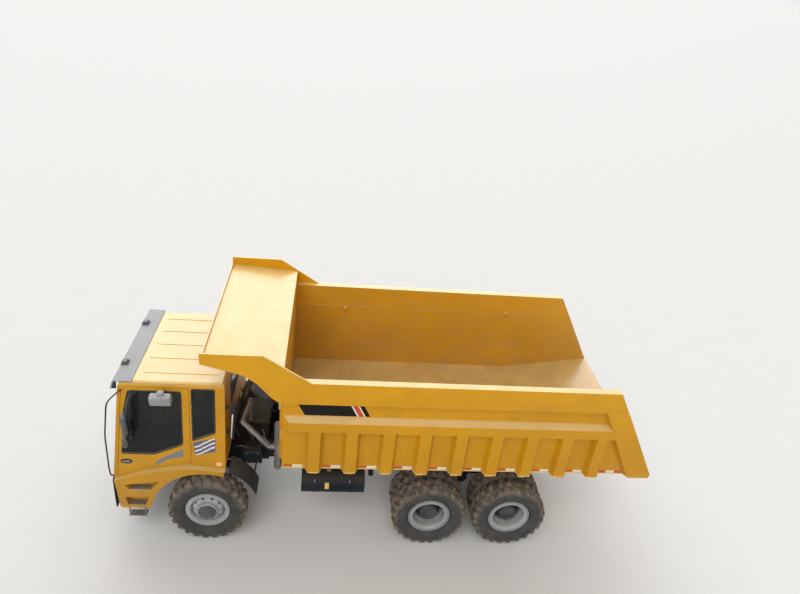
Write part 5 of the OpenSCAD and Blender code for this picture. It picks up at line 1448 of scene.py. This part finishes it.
glasses = [mirror_glass(*head) for head in HEADS]
heads = [housing(head_middle(z), (0.040, wide / 2, tall / 2), MIRROR_TURN)
         for z, tall, wide in HEADS]
arm = bent_pipe(ARM_CORNERS, 0.012, 0.08, 12)
KERB_TURN = np.array(Matrix.Rotation(math.radians(-15), 3, "X"))
kerb_head = housing(np.array([3.768, 1.385, 2.992]), (0.170, 0.062, 0.098), KERB_TURN, 0.20)
kerb_arm = tube([(3.760, 1.370, 3.040), (3.760, 1.110, 3.020)], 0.015, 12)
kerb_glass = plate([(3.650, 1.325, 2.906), (3.886, 1.325, 2.906), (3.886, 1.394, 2.888),
                    (3.650, 1.394, 2.888)], (0, -0.002, -0.009))
clips = [chamfered_block((4.332, 1.262, 2.058), (0.044, 0.030, 0.050), 0.006),
         chamfered_block((4.290, 1.175, 2.980), (0.044, 0.030, 0.044), 0.006)]
knob = housing(np.array([3.765, 1.372, 3.112]), (0.062, 0.046, 0.042), np.eye(3), 1.0, 10, 24)
for side_name, turn_over in SIDES:
    body = "door_" + side_name
    arms = add_piece(body + "_mirror_arm", *turn_over(arm), arm_paint, body, "grey_plastic",
                     smooth=True)
    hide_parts(body + "_mirrors")
    add_piece(body + "_mirror_heads", *stacked([turn_over(head) for head in heads]), shell_plastic,
              body, "grey_plastic", smooth=True)
    add_piece(body + "_mirror_glasses", *stacked([turn_over(glass) for glass in glasses]),
              mirror_surface, body, "glass")
    add_piece(body + "_mirror_clips", *stacked([turn_over(clip) for clip in clips]), black_plastic,
              body, "grey_plastic")
add_piece("door_left_kerb_mirror", *stacked([kerb_head, kerb_arm]), mirror_plastic, "door_left",
          "grey_plastic", smooth=True)
add_piece("door_left_kerb_glass", *kerb_glass, mirror_surface, "door_left", "glass")
add_piece("door_left_kerb_knob", *knob, knob_plastic, "door_left", "grey_plastic", smooth=True)
print("mirror glasses:", 2 * len(glasses) + 1)

# %% [markdown]
# ## Behind the cab
# Hoses, pipes and black boxes fill the gap between cab and bed; their dark finish is partly their own
# and partly painted shade for the shadow that lies there. The exhaust has clamps and a bellows, whose
# radius is a wave along its axis, and the pale duct on the cab's rear wall carries a bright strip.

# %% Exhaust bellows, clamps, duct strip and hoses
POST = np.array([1.930, 1.000, 0.0])


def bellows(start, end, radius, waves=9):
    """A ribbed hose: radius r (1 + 0.09 cos(2 pi waves s)) for s from 0 to 1."""
    share = np.linspace(0, 1, 6 * waves + 1)
    start, end = np.asarray(start, float), np.asarray(end, float)
    sizes = radius * (1 + 0.09 * np.cos(2 * np.pi * waves * share))
    helper = (0, 0, 1) if abs((end - start)[2]) < 0.9 * np.linalg.norm(end - start) else (0, 1, 0)
    return tube((1 - share)[:, None] * start + share[:, None] * end, sizes, 20, False, helper)


PIPE_START, PIPE_END = np.array([2.090, 1.000, 1.720]), np.array([2.560, 0.900, 2.180])
PIPE_SLEEVE_R, POST_SLEEVE_R = 0.052, 0.0725


def along_pipe(share):
    """A point of the slanting exhaust pipe between its ends."""
    return (1 - share) * PIPE_START + share * PIPE_END


add_piece("exhaust_bellows", *bellows(along_pipe(0.06), along_pipe(0.26), PIPE_SLEEVE_R),
          bright_steel, "chassis", "raw_steel", smooth=True)
clamp_rings = [tube([along_pipe(share), along_pipe(share + 0.03)], PIPE_SLEEVE_R, 20)
               for share in (0.30, 0.72, 0.90)]
clamp_rings += [tube([POST + (0, 0, z), POST + (0, 0, z + 0.025)], POST_SLEEVE_R, 24, False,
                     (0, 1, 0)) for z in (1.52, 1.83, 1.98)]
add_piece("exhaust_clamps", *stacked(clamp_rings), bright_steel, "chassis", "raw_steel")
duct_low, duct_high = np.array([2.715, 1.120, 2.000]), np.array([2.660, 1.120, 2.760])
ON_DUCT = np.array([0.004, 0.036, 0.0])
strip = tube([duct_low + ON_DUCT + (0, 0, 0.02), 0.5 * (duct_low + duct_high) + ON_DUCT,
              duct_low + 0.72 * (duct_high - duct_low) + ON_DUCT], 0.014, 8, False, (0, 1, 0))
add_piece("duct_strip", *strip, tape_white, "chassis", "grey_plastic", smooth=True)
# Dark hoses behind the cab: clutter, whose dark rubber also paints the shade that lies there.
HOSES = [
    ([(2.62, 0.55, 1.72), (2.60, 0.62, 1.98), (2.48, 0.86, 2.02), (2.36, 0.86, 1.70),
      (2.40, 0.56, 1.42)], 0.022),
    ([(2.30, 0.42, 1.60), (2.22, 0.62, 1.74), (2.16, 0.78, 1.56), (2.18, 0.52, 1.30)], 0.018),
    ([(2.74, 0.80, 1.50), (2.60, 0.88, 1.62), (2.42, 0.84, 1.50), (2.34, 0.56, 1.36)], 0.015),
    ([(2.70, 0.30, 1.74), (2.58, 0.34, 2.30), (2.52, -0.20, 2.42), (2.40, -0.62, 2.30),
      (2.14, -0.86, 2.40)], 0.050),
    ([(2.76, 0.66, 1.95), (2.66, 0.70, 1.70), (2.60, 0.60, 1.45), (2.56, 0.52, 1.30)], 0.012),
    ([(2.76, -0.40, 1.90), (2.62, -0.46, 1.60), (2.50, -0.52, 1.40)], 0.016),
    ([(1.70, 0.30, 1.30), (1.40, 0.36, 1.37), (0.60, 0.38, 1.33), (-0.30, 0.36, 1.20),
      (-0.95, 0.30, 1.05)], 0.014)]
hose_shapes = [bent_pipe(corners, radius, 0.12, 10) for corners, radius in HOSES]
add_piece("engine_hoses", *stacked(hose_shapes), rubber_seal, "chassis", "tyre_rubber", smooth=True)
# Black boxes behind the cab: clutter, whose black also paints the shade that lies there.
boxes = [chamfered_block((2.40, 0.71, 1.30), (0.34, 0.30, 0.26), 0.015),
         chamfered_block((2.04, 0.70, 1.40), (0.16, 0.24, 0.14), 0.012),
         chamfered_block((2.26, -0.70, 1.24), (0.40, 0.30, 0.30), 0.018)]
add_piece("battery_boxes", *stacked(boxes), black_paint, "chassis", "black_paint")
box_bolts = [domes([(x, 0.862, z) for z in (1.40, 1.22) for x in (2.30, 2.50)], (0, 1, 0), 0.012,
                   0.010),
             domes([(2.04, 0.70, 1.474)], (0, 0, 1), 0.030, 0.030)]
add_piece("battery_box_bolts", *stacked(box_bolts), bright_steel, "chassis", "raw_steel")
print("hoses:", len(HOSES))

# %% [markdown]
# ## Wheel details
# A lock ring holds the bead on the outer side of each rim, and a short valve stem comes through the
# disc.

# %% Lock rings and valves
RING_TURN = np.linspace(0, 2 * np.pi, 64, endpoint=False)
FRONT_FLANGE_Y, REAR_FLANGE_Y = 1.526, 1.614


def wheel_ring(centre, radius, thickness):
    """A torus about the axle: centre + (r + t cos b) around the wheel, t sin b along the axle."""
    path = np.stack([centre[0] + radius * np.cos(RING_TURN), np.full(len(RING_TURN), centre[1]),
                     centre[2] + radius * np.sin(RING_TURN)], axis=-1)
    return tube(path, thickness, 8, True, (0, 1, 0))


for node_name, sign in WHEELS:
    axle_x, axle_z = axle_centre(node_name)
    front = node_name.startswith("front")
    flange_y = sign * (FRONT_FLANGE_Y if front else REAR_FLANGE_Y)
    rings = [wheel_ring((axle_x, flange_y, axle_z), 0.372, 0.009),
             wheel_ring((axle_x, flange_y - sign * 0.004, axle_z), 0.330, 0.006)]
    valve_y = flange_y - sign * (0.02 if front else 0.10)
    stem = tube([(axle_x + 0.275, valve_y - sign * 0.03, axle_z + 0.05),
                 (axle_x + 0.278, valve_y + sign * 0.03, axle_z + 0.052)], 0.007, 8)
    add_piece(node_name + "_lock_rings", *stacked(rings + [stem]), ring_paint,
              body_of_node(node_name), "grey_iron", smooth=True)
print("lock rings:", len(WHEELS))
